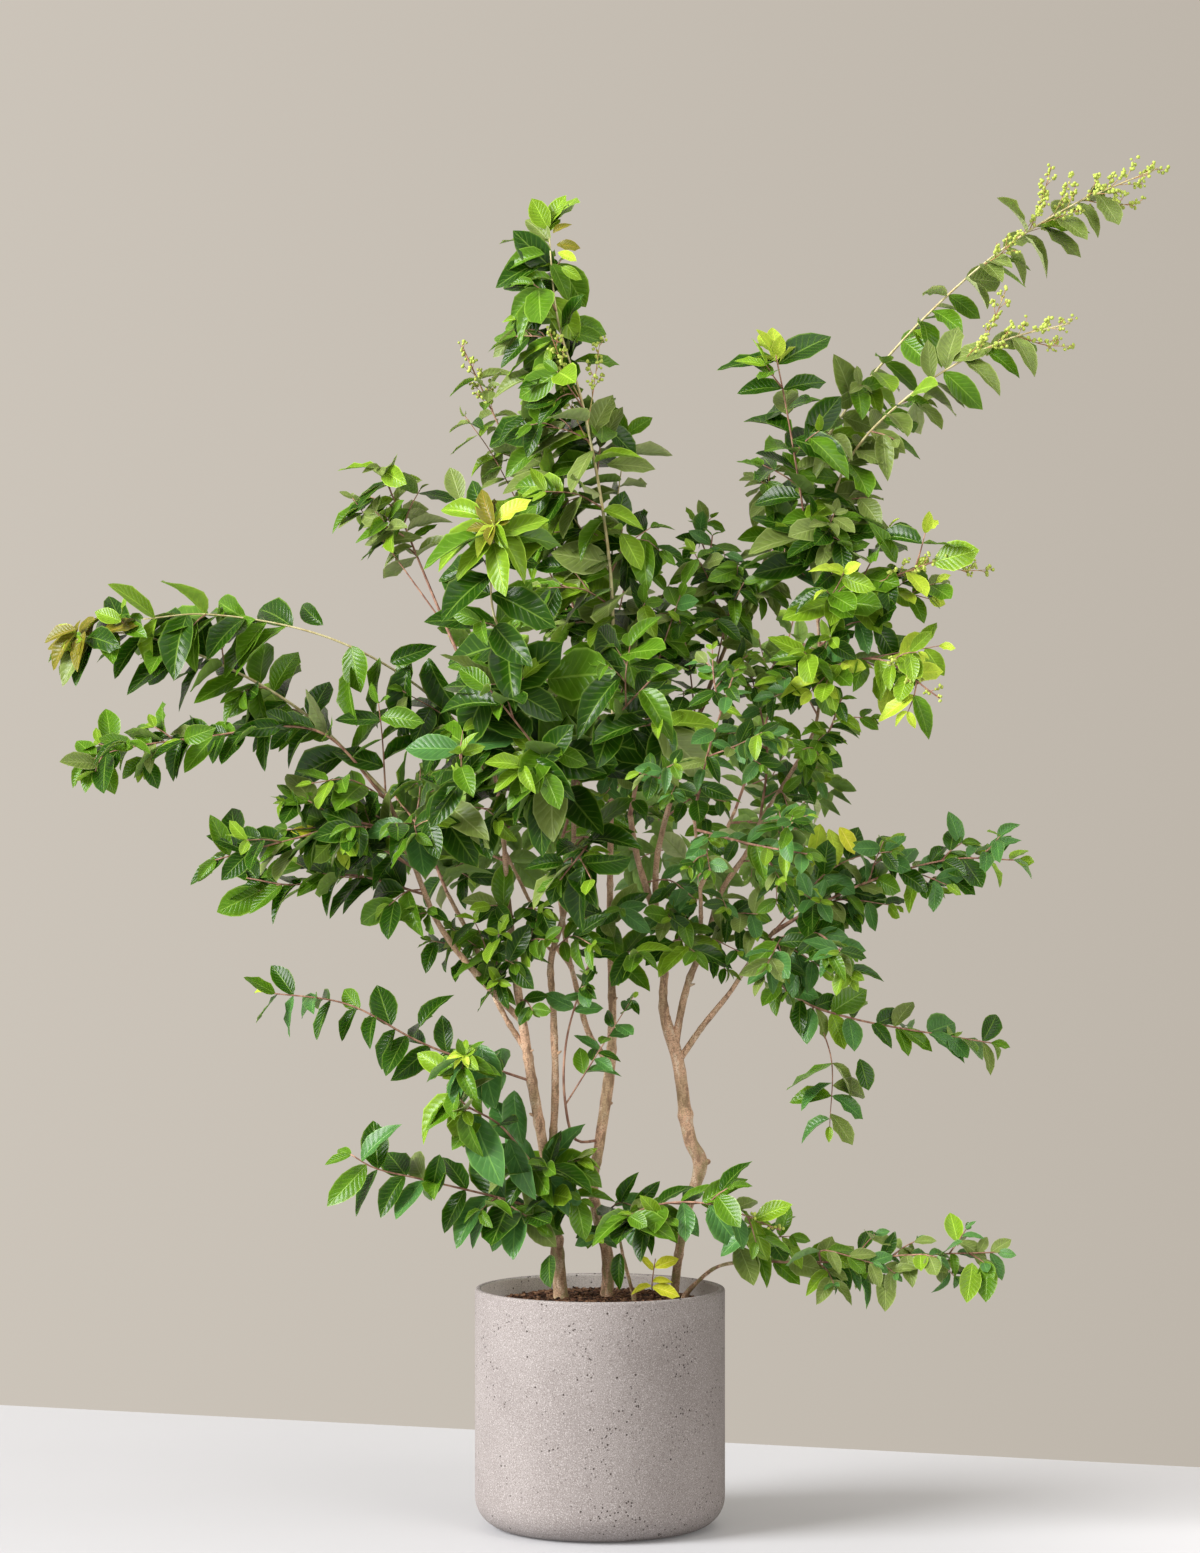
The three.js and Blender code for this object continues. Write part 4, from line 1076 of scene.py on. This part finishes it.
def barkMaterial():
    skin = newMaterial("smoothBark", roughness=0.72, specular=0.3)
    coordinate = objectPlace(skin, (1, 1, 0.4))
    broad = noiseOn(skin, coordinate, 42.0, 4.0, 0.6)
    patch = noiseOn(skin, coordinate, 120.0, 5.0, 0.65)
    fine = noiseOn(skin, objectPlace(skin, (1, 1, 2.2)), 420.0, 3.0, 0.6)
    colour = mixColour(skin, ramp(skin, broad, 0.40, 0.60), bark["tan"], bark["pink"])
    colour = mixColour(skin, ramp(skin, patch, 0.46, 0.39, 0.0, 0.75), colour, bark["pale"])
    colour = mixColour(skin, ramp(skin, patch, 0.53, 0.60, 0.0, 0.8), colour, bark["brown"])
    height = axesOf(skin, objectPlace(skin))[2]
    low = ramp(skin, height, 0.30, 0.58, 1.0, 0.15)
    colour = mixColour(skin, ramp(skin, height, 0.60, 0.85, 0.0, 0.4), colour, bark["brown"])
    mossy = times(skin, ramp(skin, noiseOn(skin, coordinate, 66.0, 4.0, 0.7), 0.50, 0.60), low)
    colour = mixColour(skin, times(skin, mossy, 0.8), colour, bark["lichen"])
    colour = mixColour(skin, ramp(skin, fine, 0.40, 0.50, 0.7, 0.0), colour, bark["brown"])
    setColour(skin, colour)
    setBump(skin, math2(skin, "ADD", patch, times(skin, fine, 0.8)), 0.7, 0.0013)
    return skin


def makeLimbs():
    dice = random.Random(bark["seed"])
    runs = [limbRun(name, plan, dice) for name, plan in limbs.items()]
    runs += [stubRun(*stub) for stub in stubs]
    mesh = tubesMesh("limbs", runs, bark["roundness"])
    lowest = soilTop - 5 * mm
    moved = []
    for vert in mesh.vertices:
        spot = vert.co
        stretched = Vector((spot.x, spot.y, spot.z * 0.45))
        relief = bark["lump"] * noise.noise(spot * 60) + bark["flake"] * max(0, noise.noise(stretched * 190))
        moved += [*(spot.xy + vert.normal.xy * relief), max(spot.z + vert.normal.z * relief, lowest)]
    mesh.vertices.foreach_set("co", moved)
    addPiece("barkLimbs", mesh, [barkMaterial()], list(limbs))


# Leaves: a blade with a folded midrib, a drawn-out tip and a slightly waved edge.
# Its faces above are mapped to the left half of the UV map and those below to the right half.

blade = {
    "perPiece": 1600,  # leaves in one mesh
    "sharpAngle": 70,
    "halfWidth": 0.268,
    "thickness": 0.006,
    "uvMiddle": 0.24,
    "uvHalf": 0.23,
    "ragged": 0.05,
    "stations": (0.0, 0.09, 0.23, 0.41, 0.60, 0.78, 0.91, 1.0),
    "widths": (0.0, 0.46, 0.82, 1.0, 0.96, 0.72, 0.36, 0.0),
    "kinds": [
        dict(fold=0.22, droop=0.16, wave=0.016, twist=0.15, wide=1.0, often=4),
        dict(fold=0.40, droop=0.34, wave=0.024, twist=-0.35, wide=0.94, often=3),
        dict(fold=0.12, droop=0.08, wave=0.030, twist=0.40, wide=1.12, often=2),
        dict(fold=0.62, droop=0.50, wave=0.020, twist=-0.15, wide=0.92, often=2),
        dict(fold=0.30, droop=0.24, wave=0.042, twist=0.60, wide=0.82, often=2),
    ],
}


def leafShape(kind):
    rows = len(blade["stations"]) - 1
    bm = bmesh.new()
    layer = bm.loops.layers.uv.new("OFBake")
    bmesh.ops.create_grid(bm, x_segments=rows, y_segments=4, size=0.5)
    for vert in bm.verts:
        vert.co.x = blade["stations"][round((vert.co.x + 0.5) * rows)]
    for face in bm.faces:
        for loop in face.loops:
            across = blade["uvMiddle"] + loop.vert.co.y * 2 * blade["uvHalf"]
            loop[layer].uv = (across, loop.vert.co.x * 0.96 + 0.02)
    below = bmesh.ops.duplicate(bm, geom=list(bm.faces))["geom"]
    lowFaces = [item for item in below if isinstance(item, bmesh.types.BMFace)]
    lowVerts = [item for item in below if isinstance(item, bmesh.types.BMVert)]
    bmesh.ops.reverse_faces(bm, faces=lowFaces)
    for face in lowFaces:
        face.material_index = 1
        for loop in face.loops:
            loop[layer].uv.x = 1 - loop[layer].uv.x
    sunk = set(lowVerts)
    for vert in bm.verts:
        share, side = vert.co.x, vert.co.y * 2
        width = blade["halfWidth"] * kind["wide"]
        width *= float(np.interp(share, blade["stations"], blade["widths"]))
        inside = min(1, 6 * share * (1 - share))
        edge = abs(side)
        if edge > 0.9:
            width *= 1 + blade["ragged"] * math.sin(share * 29 + side * 2.7)
        lift = kind["fold"] * width * edge ** 1.3 - kind["droop"] * share ** 1.8
        lift += kind["wave"] * math.sin(share * 17 + side * 2.2) * edge ** 2 * inside
        lift += kind["twist"] * share * side * width
        if vert in sunk:
            lift -= blade["thickness"] * (1 - edge ** 2) * inside
        across = side * width * (1 - 0.3 * kind["fold"] * edge)
        vert.co = Vector((share - 0.14 * kind["droop"] * share ** 2, across, lift))
    bmesh.ops.remove_doubles(bm, verts=bm.verts, dist=1e-5)
    return shapeArrays(bm, layer)


# Colours of the upper side, the veins and the lower side, and the roughness of the upper side
leafTints = {
    # deep is the dark green of older leaves, darkened further as painted shade inside the crown
    "deep": dict(top=(0.018, 0.062, 0.0025), vein=(0.12, 0.22, 0.025), under=(0.15, 0.24, 0.06), gloss=0.25),
    "grown": dict(top=(0.074, 0.178, 0.007), vein=(0.18, 0.32, 0.035), under=(0.2, 0.31, 0.07), gloss=0.26),
    "cool": dict(top=(0.06, 0.172, 0.038), vein=(0.13, 0.29, 0.06), under=(0.18, 0.3, 0.11), gloss=0.27),
    "dusty": dict(top=(0.155, 0.215, 0.045), vein=(0.26, 0.33, 0.1), under=(0.36, 0.42, 0.19), gloss=0.36),
    "fresh": dict(top=(0.165, 0.3, 0.013), vein=(0.33, 0.53, 0.05), under=(0.27, 0.44, 0.055), gloss=0.28),
    "lime": dict(top=(0.42, 0.58, 0.04), vein=(0.58, 0.7, 0.07), under=(0.42, 0.56, 0.07), gloss=0.4),
    "bronze": dict(top=(0.15, 0.145, 0.01), vein=(0.29, 0.21, 0.03), under=(0.2, 0.165, 0.03), gloss=0.32),
    "yellow": dict(top=(0.64, 0.68, 0.03), vein=(0.82, 0.78, 0.14), under=(0.72, 0.68, 0.1), gloss=0.42),
}

# How often each tint comes in a mood
moods = {
    "deep": dict(deep=0.62, grown=0.33, dusty=0.04, fresh=0.01),
    "mixed": dict(deep=0.4, grown=0.46, dusty=0.07, fresh=0.07),
    "dusty": dict(deep=0.08, grown=0.3, dusty=0.52, fresh=0.1),
    "sunny": dict(deep=0.3, grown=0.34, dusty=0.22, fresh=0.14),
    "young": dict(grown=0.2, fresh=0.43, lime=0.37),
    "edge": dict(deep=0.12, grown=0.38, dusty=0.06, fresh=0.28, lime=0.16),
    "soft": dict(deep=0.14, grown=0.3, cool=0.34, dusty=0.18, fresh=0.04),
    # painted shade: the masses inside and behind the crown get mostly the darkest leaves
    "dark": dict(deep=0.72, grown=0.16, cool=0.05, dusty=0.06, fresh=0.01),
    "cool": dict(deep=0.4, cool=0.36, grown=0.14, dusty=0.08, fresh=0.02),
    "worn": dict(dusty=0.36, cool=0.3, grown=0.18, deep=0.08, fresh=0.08),
    "bright": dict(deep=0.26, grown=0.48, fresh=0.24, lime=0.02),
}


# Veins as a pattern of the leaf's own map: side is 0 on the midrib and 1 at the edge
def veinPattern(material, centre):
    layer = addNode(material, "ShaderNodeUVMap", {"uv_map": "OFBake"}).outputs[0]
    axes = axesOf(material, layer)
    side = math2(material, "ABSOLUTE", math2(material, "SUBTRACT", axes[0], centre))
    side = math2(material, "DIVIDE", side, blade["uvHalf"])
    midrib = ramp(material, side, 0.02, 0.075, 1.0, 0.0)
    slant = times(material, math2(material, "POWER", side, 0.8), 0.24)
    phase = times(material, math2(material, "SUBTRACT", axes[1], slant), 9.5)
    near = math2(material, "PINGPONG", phase, 0.5)
    vein = ramp(material, near, 0.03, 0.15, 1.0, 0.0)
    vein = times(material, vein, ramp(material, side, 0.35, 1.0, 1.0, 0.15))
    mottle = noiseOn(material, layer, 6.0, 2.0)
    edge = ramp(material, side, 0.88, 1.0)
    return midrib, vein, mottle, edge, near


def leafMaterial(name, tint, above):
    gloss, shine = (tint["gloss"], 0.2) if above else (0.62, 0.08)
    leaf = newMaterial(name, roughness=gloss, specular=shine)
    middle = blade["uvMiddle"]
    midrib, vein, mottle, edge, near = veinPattern(leaf, middle if above else 1 - middle)
    base = tint["top"] if above else tint["under"]
    colour = mixColour(leaf, ramp(leaf, mottle, 0.3, 0.7), shaded(base, 0.78), base)
    veins = math2(leaf, "MAXIMUM", times(leaf, midrib, 0.9), times(leaf, vein, 0.28))
    colour = mixColour(leaf, veins, colour, tint["vein"])
    # Pale margins: partly the leaf's own pale edge, partly a painted highlight
    paleRimHighlight = tuple(min(0.9, value * 1.25) for value in tint["vein"])
    colour = mixColour(leaf, times(leaf, edge, 0.65), colour, paleRimHighlight)
    setColour(leaf, colour)
    dip = math2(leaf, "MAXIMUM", midrib, times(leaf, vein, 0.6))
    swell = ramp(leaf, near, 0.0, 0.5)
    height = math2(leaf, "SUBTRACT", times(leaf, swell, 0.6), dip)
    if not above:
        height = times(leaf, height, -1.0)
    setBump(leaf, height, 0.5, 0.0005)
    shader = shaderOf(leaf)
    shader.inputs["Subsurface Weight"].default_value = 0.12
    shader.inputs["Subsurface Radius"].default_value = (0.6, 1.0, 0.2)
    shader.inputs["Subsurface Scale"].default_value = 0.0015
    return leaf


# The plant's growth: everything is gathered first and made into joined meshes afterwards

leafSpots = {tint: [] for tint in leafTints}
twigRuns = {"brown": [], "young": [], "stalk": []}
budSpots = []
crowding = {}
limbTree = None


def cellOf(middle):
    return tuple(math.floor(value / growth["cell"]) for value in middle)


def isCrowded(middle, least):
    x, y, z = cellOf(middle)
    cells = itertools.product((x - 1, x, x + 1), (y - 1, y, y + 1), (z - 1, z, z + 1))
    others = (other for cell in cells for other in crowding.get(cell, ()))
    return any((other - middle).length < least for other in others)


def pickTint(dice, mood):
    roll = dice.random()
    for tint, share in moods[mood].items():
        roll -= share
        if roll <= 0:
            return tint
    return next(iter(moods[mood]))


def hitsLimb(root, along, length):
    spots = (root + along * length * share for share in (0.35, 0.65, 0.95))
    return any(limbTree.find(spot)[2] < growth["limbRoom"] for spot in spots)


# The way that a leaf at this place would face: to the light, and outwards at the back
def facingAt(spot):
    outward = (spot - growth["heart"]) * Vector((1, 1, 0))
    outward = outward.normalized() if outward.length > 1e-4 else Vector((0, -1, 0))
    back = smoothStep(spot.y, 0.08, 0.26)
    return (growth["light"] * (0.7 - 0.6 * back) + outward * (0.3 + 0.7 * back) + up * 0.3).normalized()


def randomVector(dice):
    return Vector((dice.gauss(0, 1), dice.gauss(0, 1), dice.gauss(0, 1)))


def addLeaf(dice, root, along, length, tint, closeBy=0.2):
    facing = facingAt(root).lerp(up, growth["level"] * dice.random() ** 2).normalized()
    for attempt in range(growth["tries"]):
        heading = along.normalized() + randomVector(dice) * (growth["stray"] + 0.1 * attempt)
        heading -= facing * heading.dot(facing) * growth["spread"]
        heading.normalize()
        middle = root + heading * length * 0.5
        if isCrowded(middle, closeBy * length) or hitsLimb(root, heading, length):
            continue
        across = (facing + randomVector(dice) * growth["roll"]).cross(heading)
        if across.length < 0.05:
            continue
        across.normalize()
        turned = Matrix((heading, across, heading.cross(across))).transposed() * length
        kind = dice.choices(range(len(blade["kinds"])), [kind["often"] for kind in blade["kinds"]])[0]
        leafSpots[tint].append((kind, turned, root))
        crowding.setdefault(cellOf(middle), []).append(middle)
        return


def sideOf(tangent, turn, facing=up):
    level = tangent.cross(facing)
    if level.length < 0.1:
        level = tangent.cross(Vector((1, 0, 0)))
    return Quaternion(tangent, turn) @ level.normalized()


# Opposite leaves along a twig, with the plant's habit there: lean is added to their headings,
# grow is their size at the start and at the end, hang is how far they droop, step is between pairs
def addLeaves(dice, path, span, leaf, mood, tipTint, habit, around=0.6):
    length = pathLength(path)
    pairs = max(1, round(length * (span[1] - span[0]) / (habit["step"] * leaf)))
    for pair in range(pairs):
        step = (pair + 0.35 + dice.uniform(-0.25, 0.25)) / pairs
        share = blend(*span, step)
        if habit["gap"][0] < share < habit["gap"][1]:
            continue
        root = pointOn(path, share)
        tangent = headingOn(path, share)
        upright = smoothStep(abs(tangent.z), 0.5, 0.85)
        turn = dice.gauss(0, around) + pair * math.pi / 2 * upright * habit["crossed"]
        side = sideOf(tangent, turn, facingAt(root))
        size = leaf * blend(*habit["grow"], step) * dice.uniform(*growth["pairSize"])
        for hand in (-1, 1):
            spot = root + tangent * dice.uniform(-0.05, 0.12) * leaf
            spread = dice.gauss(0, growth["openStray"]) + growth["open"]
            along = tangent * math.cos(spread) + side * hand * math.sin(spread) + habit["lean"]
            along -= up * growth["droop"] * habit["hang"] * dice.uniform(0.1, 1.6)
            tint = pickTint(dice, mood)
            if share > growth["freshFrom"] and dice.random() < growth["freshShare"]:
                tint = "fresh"
            addLeaf(dice, spot, along.normalized(), size * dice.uniform(*growth["leafSize"]), tint)
    if span[1] == 1:
        count = dice.choice(growth["tipLeaves"])
        own = "grown" if tipTint == "fresh" and count == 2 else tipTint
        addTuft(dice, path[-1], headingOn(path, 1), leaf, own, count)


def addTuft(dice, tip, ahead, leaf, tint, count):
    for index in range(count):
        side = sideOf(ahead, index * growth["goldenAngle"] + dice.uniform(-0.3, 0.3))
        along = (ahead * dice.uniform(0.8, 1.3) + side * 0.8 + up * 0.1).normalized()
        own = dice.choice((tint, "lime", "lime")) if tint in ("bronze", "lime") else tint
        root = tip - ahead * (1.2 + max(0, index - 2) * 3) * mm
        addLeaf(dice, root, along, leaf * dice.uniform(*growth["tuftSize"]), own, 0.06)


rosette = {"outer": 8, "outerSize": (0.58, 0.9), "inner": 7, "innerSize": (0.22, 0.46)}


# Grown leaves all round a tip that leans out to the light, with young ones standing in their middle
def addRosette(dice, tip, ahead, leaf, tint, outer):
    axis = (growth["light"] + ahead * 0.5).normalized()
    for index in range(rosette["outer"]):
        side = sideOf(axis, index * growth["goldenAngle"] + dice.uniform(-0.2, 0.2))
        along = (side + axis * 0.15 - up * dice.uniform(0, 0.5)).normalized()
        root = tip - ahead * (2 + 3 * index) * mm
        size = leaf * dice.uniform(*rosette["outerSize"])
        addLeaf(dice, root, along, size, dice.choice(outer), 0.08)
    for index in range(rosette["inner"]):
        side = sideOf(axis, index * growth["goldenAngle"])
        along = (side * 0.8 + axis * dice.uniform(0.1, 0.8) - up * 0.3).normalized()
        own = dice.choice((tint, "lime", "fresh"))
        addLeaf(dice, tip, along, leaf * dice.uniform(*rosette["innerSize"]), own, 0.04)


def radiiAlong(path, radius):
    return [(point, blend(radius[0], radius[1], i / (len(path) - 1))) for i, point in enumerate(path)]


def growTwig(dice, root, heading, length, leaf, mood, tipTint, habit, level=1):
    bend = randomVector(dice) * growth["twigBend"]
    middle = root + (heading + bend * 0.5).normalized() * length * 0.5
    end = root + (heading + bend - up * 0.12 * habit["hang"]).normalized() * length
    path = smoothPath([root, middle, end], growth["pathStep"])
    radius = growth["twigRadius" if level == 1 else "sideTwigRadius"]
    twigRuns["brown"].append(radiiAlong(path, radius))
    addLeaves(dice, path, (0.25, 1), leaf, mood, tipTint, dict(habit, grow=(1.0, 0.86), gap=(1, 1)), 0.7)
    if level == 1 and length > growth["longTwig"]:
        for share in growth["sideTwigs"]:
            tangent = headingOn(path, share)
            side = sideOf(tangent, dice.uniform(0, math.tau))
            turned = (tangent * 0.7 + side * 0.75 + habit["lean"] * 0.5).normalized()
            reach = length * dice.uniform(0.38, 0.52)
            growTwig(dice, pointOn(path, share), turned, reach, leaf * 0.9, mood, tipTint, habit, 2)


# Flower buds: thin side stalks along the end of a shoot, each with small clusters of buds
panicle = {
    "length": 125 * mm,
    "step": 8 * mm,
    "radius": (0.8 * mm, 0.4 * mm),
    "side": 44 * mm,
    "sideStep": 9.5 * mm,
    "sideRadius": (0.5 * mm, 0.32 * mm),
    "stalkRadius": (0.26 * mm, 0.24 * mm),
    "perSide": 13,
    "bud": 2.1 * mm,
    "sharpAngle": 89,
    "away": (2.5, 5),  # how far buds stand from the side stalk
    "leafless": 0.4,  # share of its length with no leaves
    "colours": ((0.46, 0.56, 0.10), (0.34, 0.42, 0.06)),
}


def growPanicle(dice, path, size):
    steps = max(5, round(pathLength(path) / panicle["sideStep"]))
    for step in range(steps):
        share = (step + 0.5) / steps
        root, tangent = pointOn(path, share), headingOn(path, share)
        side = sideOf(tangent, step * growth["goldenAngle"])
        heading = (tangent * 0.85 + side * 0.7 + up * 0.3).normalized()
        end = root + heading * panicle["side"] * size * (1.05 - 0.85 * share) * dice.uniform(0.6, 1.15)
        twigRuns["stalk"].append(list(zip((root, end), panicle["sideRadius"])))
        for _ in range(max(3, round(panicle["perSide"] * size * (1.05 - 0.75 * share)))):
            start = root.lerp(end, dice.uniform(0.35, 1))
            away = randomVector(dice).normalized() + heading * 0.6
            spot = start + away * dice.uniform(*panicle["away"]) * mm
            twigRuns["stalk"].append(list(zip((start, spot), panicle["stalkRadius"])))
            turned = Matrix.Rotation(dice.uniform(0, math.tau), 3, "Z")
            turned = turned @ Matrix.Rotation(dice.uniform(0, 1.5), 3, "X")
            budSpots.append((0, turned * panicle["bud"] * dice.uniform(0.7, 1.15), spot))


def growSidePanicle(dice, root, heading, size):
    length = panicle["length"] * size
    ends = root + heading * length * 0.5, root + (heading + up * 0.12) * length
    path = smoothPath([root, *ends], panicle["step"])
    twigRuns["stalk"].append(radiiAlong(path, panicle["radius"]))
    growPanicle(dice, [pointOn(path, 0.3 + 0.07 * i) for i in range(11)], size)


# Buds at the end of the shoot, and panicles of them at its side
def growBuds(dice, plan, shoot):
    if plan["buds"]:
        start = 1 - panicle["length"] * plan["budSize"] / pathLength(shoot)
        growPanicle(dice, [pointOn(shoot, blend(start, 1, i / 10)) for i in range(11)], plan["budSize"])
    for index in range(1, plan["buds"] + plan["sideBuds"]):
        share = blend(*plan["budsAt"], index)
        tangent = headingOn(shoot, share)
        heading = (tangent + sideOf(tangent, index * 2.2) * plan["budsOpen"]).normalized()
        growSidePanicle(dice, pointOn(shoot, share), heading, plan["sideSize"])


def makeHabit(plan):
    habit = {key: plan[key] for key in ("grow", "hang", "step", "gap", "crossed")}
    return dict(habit, lean=Vector(plan["lean"]))


# Radius of a shoot's foot and tip: the first one of a mass may go on from the end of its limb
def shootRadius(plan, index):
    if index:
        return growth["twigRadius"]
    foot, tip = growth["shootRadius"]
    if plan["thick"]:
        foot = plan["thick"] * mm
    elif plan["at"] == 1:
        foot = limbs[plan["on"]]["radii"][-1][1] * mm
    return foot, tip


# The first shoot's leaves end among its buds
def leafEnd(plan, path):
    if not plan["buds"]:
        return 1
    return 1 - panicle["leafless"] * plan["budSize"] * panicle["length"] / pathLength(path)


def growSideTwigs(dice, plan, shoot, tipTint, habit):
    leaf, reach = plan["leaf"] * mm, plan["reach"] * mm
    start, end = plan["branched"]
    count = pathLength(shoot) * (end - start) / (growth["twigStep"] * leaf + growth["twigRoom"])
    count = max(1, round(count * plan["fullness"]))
    for index in range(count):
        share = blend(start, end, (index + 0.5) / count)
        tangent = headingOn(shoot, share)
        side = sideOf(tangent, index * growth["goldenAngle"] + dice.uniform(0, 0.5))
        heading = tangent * math.cos(growth["twigOpen"]) + side * math.sin(growth["twigOpen"])
        heading = (heading + habit["lean"]).normalized()
        size = reach * (1.05 - 0.55 * share) * dice.uniform(0.8, 1.1)
        growTwig(dice, pointOn(shoot, share), heading, size, leaf * 0.92, plan["mood"], tipTint, habit)


def growMass(order, plan):
    plan = dict(usualMass, **plan)
    dice = random.Random(growth["massSeed"] + order * 17)
    leaf, mood = plan["leaf"] * mm, plan["mood"]
    youngTint = growth["tipTints"].get(mood, "fresh")
    tipTint = plan["tip"] or youngTint
    habit = makeHabit(plan)
    kind = "young" if plan["young"] else "brown"
    first = None
    for index, shoot in enumerate(plan["shoots"]):
        root = pointOn(first, growth["secondAt"]) if index else pointOn(limbPaths[plan["on"]], plan["at"])
        path = smoothPath([root, *(place(*spot) for spot in shoot)], growth["pathStep"])
        first = first or path
        twigRuns[kind].append(radiiAlong(path, shootRadius(plan, index)))
        span, own = (plan["leafFrom"], leafEnd(plan, path)), habit
        if index:
            span, own = (plan["secondFrom"], 1), dict(habit, **plan["second"])
        addLeaves(dice, path, span, leaf, mood, tipTint, own)
    if plan["tuft"]:
        addTuft(dice, first[-1], headingOn(first, 1), leaf, tipTint, plan["tuft"])
    growBuds(dice, plan, first)
    if plan["rosette"]:
        addRosette(dice, first[-1], headingOn(first, 1), leaf, tipTint, plan["rosette"])
    growSideTwigs(dice, plan, first, youngTint, habit)


def growInnerSprays():
    dice = random.Random(growth["spraySeed"])
    habit = makeHabit(dict(usualMass, hang=0.8))
    for limb, at, end, leaf, mood in innerSprays:
        root, end = pointOn(limbPaths[limb], at), place(*end)
        reach = end - root
        middle = root + reach * 0.5 + up * reach.length * 0.14
        path = smoothPath([root, middle, end], growth["pathStep"])
        twigRuns["brown"].append(radiiAlong(path, growth["sprayRadius"]))
        addLeaves(dice, path, (0.25, 1), leaf * mm, mood, "fresh", habit)
        if dice.random() < 0.4:
            tangent = headingOn(path, 0.5)
            way = (tangent * 0.6 + sideOf(tangent, dice.uniform(0, math.tau)) * 0.8).normalized()
            size, small = reach.length * 0.45, leaf * 0.85 * mm
            growTwig(dice, pointOn(path, 0.5), way, size, small, mood, "fresh", habit, 2)


# The sprig, and the leaves that stand alone
def growSprig():
    dice = random.Random(sprig["seed"])
    path = smoothPath([place(*spot) for spot in sprig["past"]], sprig["step"])
    twigRuns["brown"].append(radiiAlong(path, sprig["radius"]))
    for share, x, z, length in sprigLeaves:
        addLeaf(dice, pointOn(path, share), Vector((x, -0.3, z)), length * mm, "yellow", 0.02)
    for root, heading, length, tint in loneLeaves:
        addLeaf(dice, place(*root), Vector(heading), length * mm, tint, 0.02)


def twigMaterial(name, colour, dark, roughness=0.6):
    twig = newMaterial(name, roughness=roughness, specular=0.4)
    grain = noiseOn(twig, objectPlace(twig, (1, 1, 0.4)), 160.0, 3.0)
    setColour(twig, mixColour(twig, ramp(twig, grain, 0.35, 0.68), dark, colour))
    setBump(twig, grain, 0.25, 0.0004)
    return twig


def budShape():
    bm = bmesh.new()
    bmesh.ops.create_uvsphere(bm, u_segments=7, v_segments=5, radius=1)
    for vert in bm.verts:
        vert.co.z *= 1.15 + 0.25 * (vert.co.z > 0.9)
    return shapeArrays(bm)


def makeLimbTree():
    spots = [point for path in limbPaths.values() for point in path]
    tree = kdtree.KDTree(len(spots))
    for index, spot in enumerate(spots):
        tree.insert(spot, index)
    tree.balance()
    return tree


def makeFloor():
    bm = bmesh.new()
    corners = [bm.verts.new((x, y, 0)) for x, y in stage["floorCorners"]]
    bm.faces.new(corners)
    bmesh.ops.recalc_face_normals(bm, faces=bm.faces)
    mesh = meshFrom(bm, "floor")
    material = newMaterial("paleFloor", roughness=0.55, specular=0.3)
    coordinate = objectPlace(material)
    grain = noiseOn(material, coordinate, 3.0, 2.0)
    pale = stage["floorColour"]
    grained = mixColour(material, grain, pale, shaded(pale, stage["floorGrain"]))
    # Painted light: the floor is painted lighter towards +x
    paintedLightSpan = ramp(material, axesOf(material, coordinate)[0], *stage["paintedLightSpan"])
    setColour(material, mixColour(material, paintedLightSpan, grained, shaded(pale, stage["paintedLightGain"])))
    shader = shaderOf(material)
    shader.inputs["Emission Color"].default_value = stage["glowColour"]
    shader.inputs["Emission Strength"].default_value = stage["floorGlow"]
    mesh.materials.append(material)
    floor = bpy.data.objects.new("floor", mesh)
    bpy.context.scene.collection.objects.link(floor)


makeCamera()
makeWorld()
for name, light in lights.items():
    makeLight(name, *light)
print("stage ready")

makePot()
makeSoil()
makeLimbs()
limbTree = makeLimbTree()
for order, plan in enumerate(masses.values()):
    growMass(order, plan)
growInnerSprays()
growSprig()
print("grown", sum(len(spots) for spots in leafSpots.values()), "leaves", len(budSpots), "buds")

massNodes = list(masses)
shapes = [leafShape(kind) for kind in blade["kinds"]]
for tint, spots in leafSpots.items():
    finish = [leafMaterial(f"{tint}LeafAbove", leafTints[tint], True),
              leafMaterial(f"{tint}LeafBelow", leafTints[tint], False)]
    for part, start in enumerate(range(0, len(spots), blade["perPiece"]), 1):
        own = spots[start:start + blade["perPiece"]]
        mesh = copiesMesh(f"{tint}Leaves", shapes, own, blade["sharpAngle"])
        addPiece(f"{tint}Leaves{part}", mesh, finish, massNodes)

twigColours = {
    "brown": ((0.42, 0.24, 0.16), (0.20, 0.09, 0.06)),
    "young": ((0.62, 0.58, 0.32), (0.44, 0.36, 0.16)),
    "stalk": ((0.45, 0.40, 0.14), (0.42, 0.17, 0.09)),
}
for kind, runs in twigRuns.items():
    mesh = tubesMesh(f"{kind}Twigs", runs, 1)
    addPiece(f"{kind}Twigs", mesh, [twigMaterial(f"{kind}Twig", *twigColours[kind])])
mesh = copiesMesh("buds", [budShape()], budSpots, panicle["sharpAngle"])
addPiece("flowerBuds", mesh, [twigMaterial("budSkin", *panicle["colours"], 0.5)])

makeFloor()
print("done")
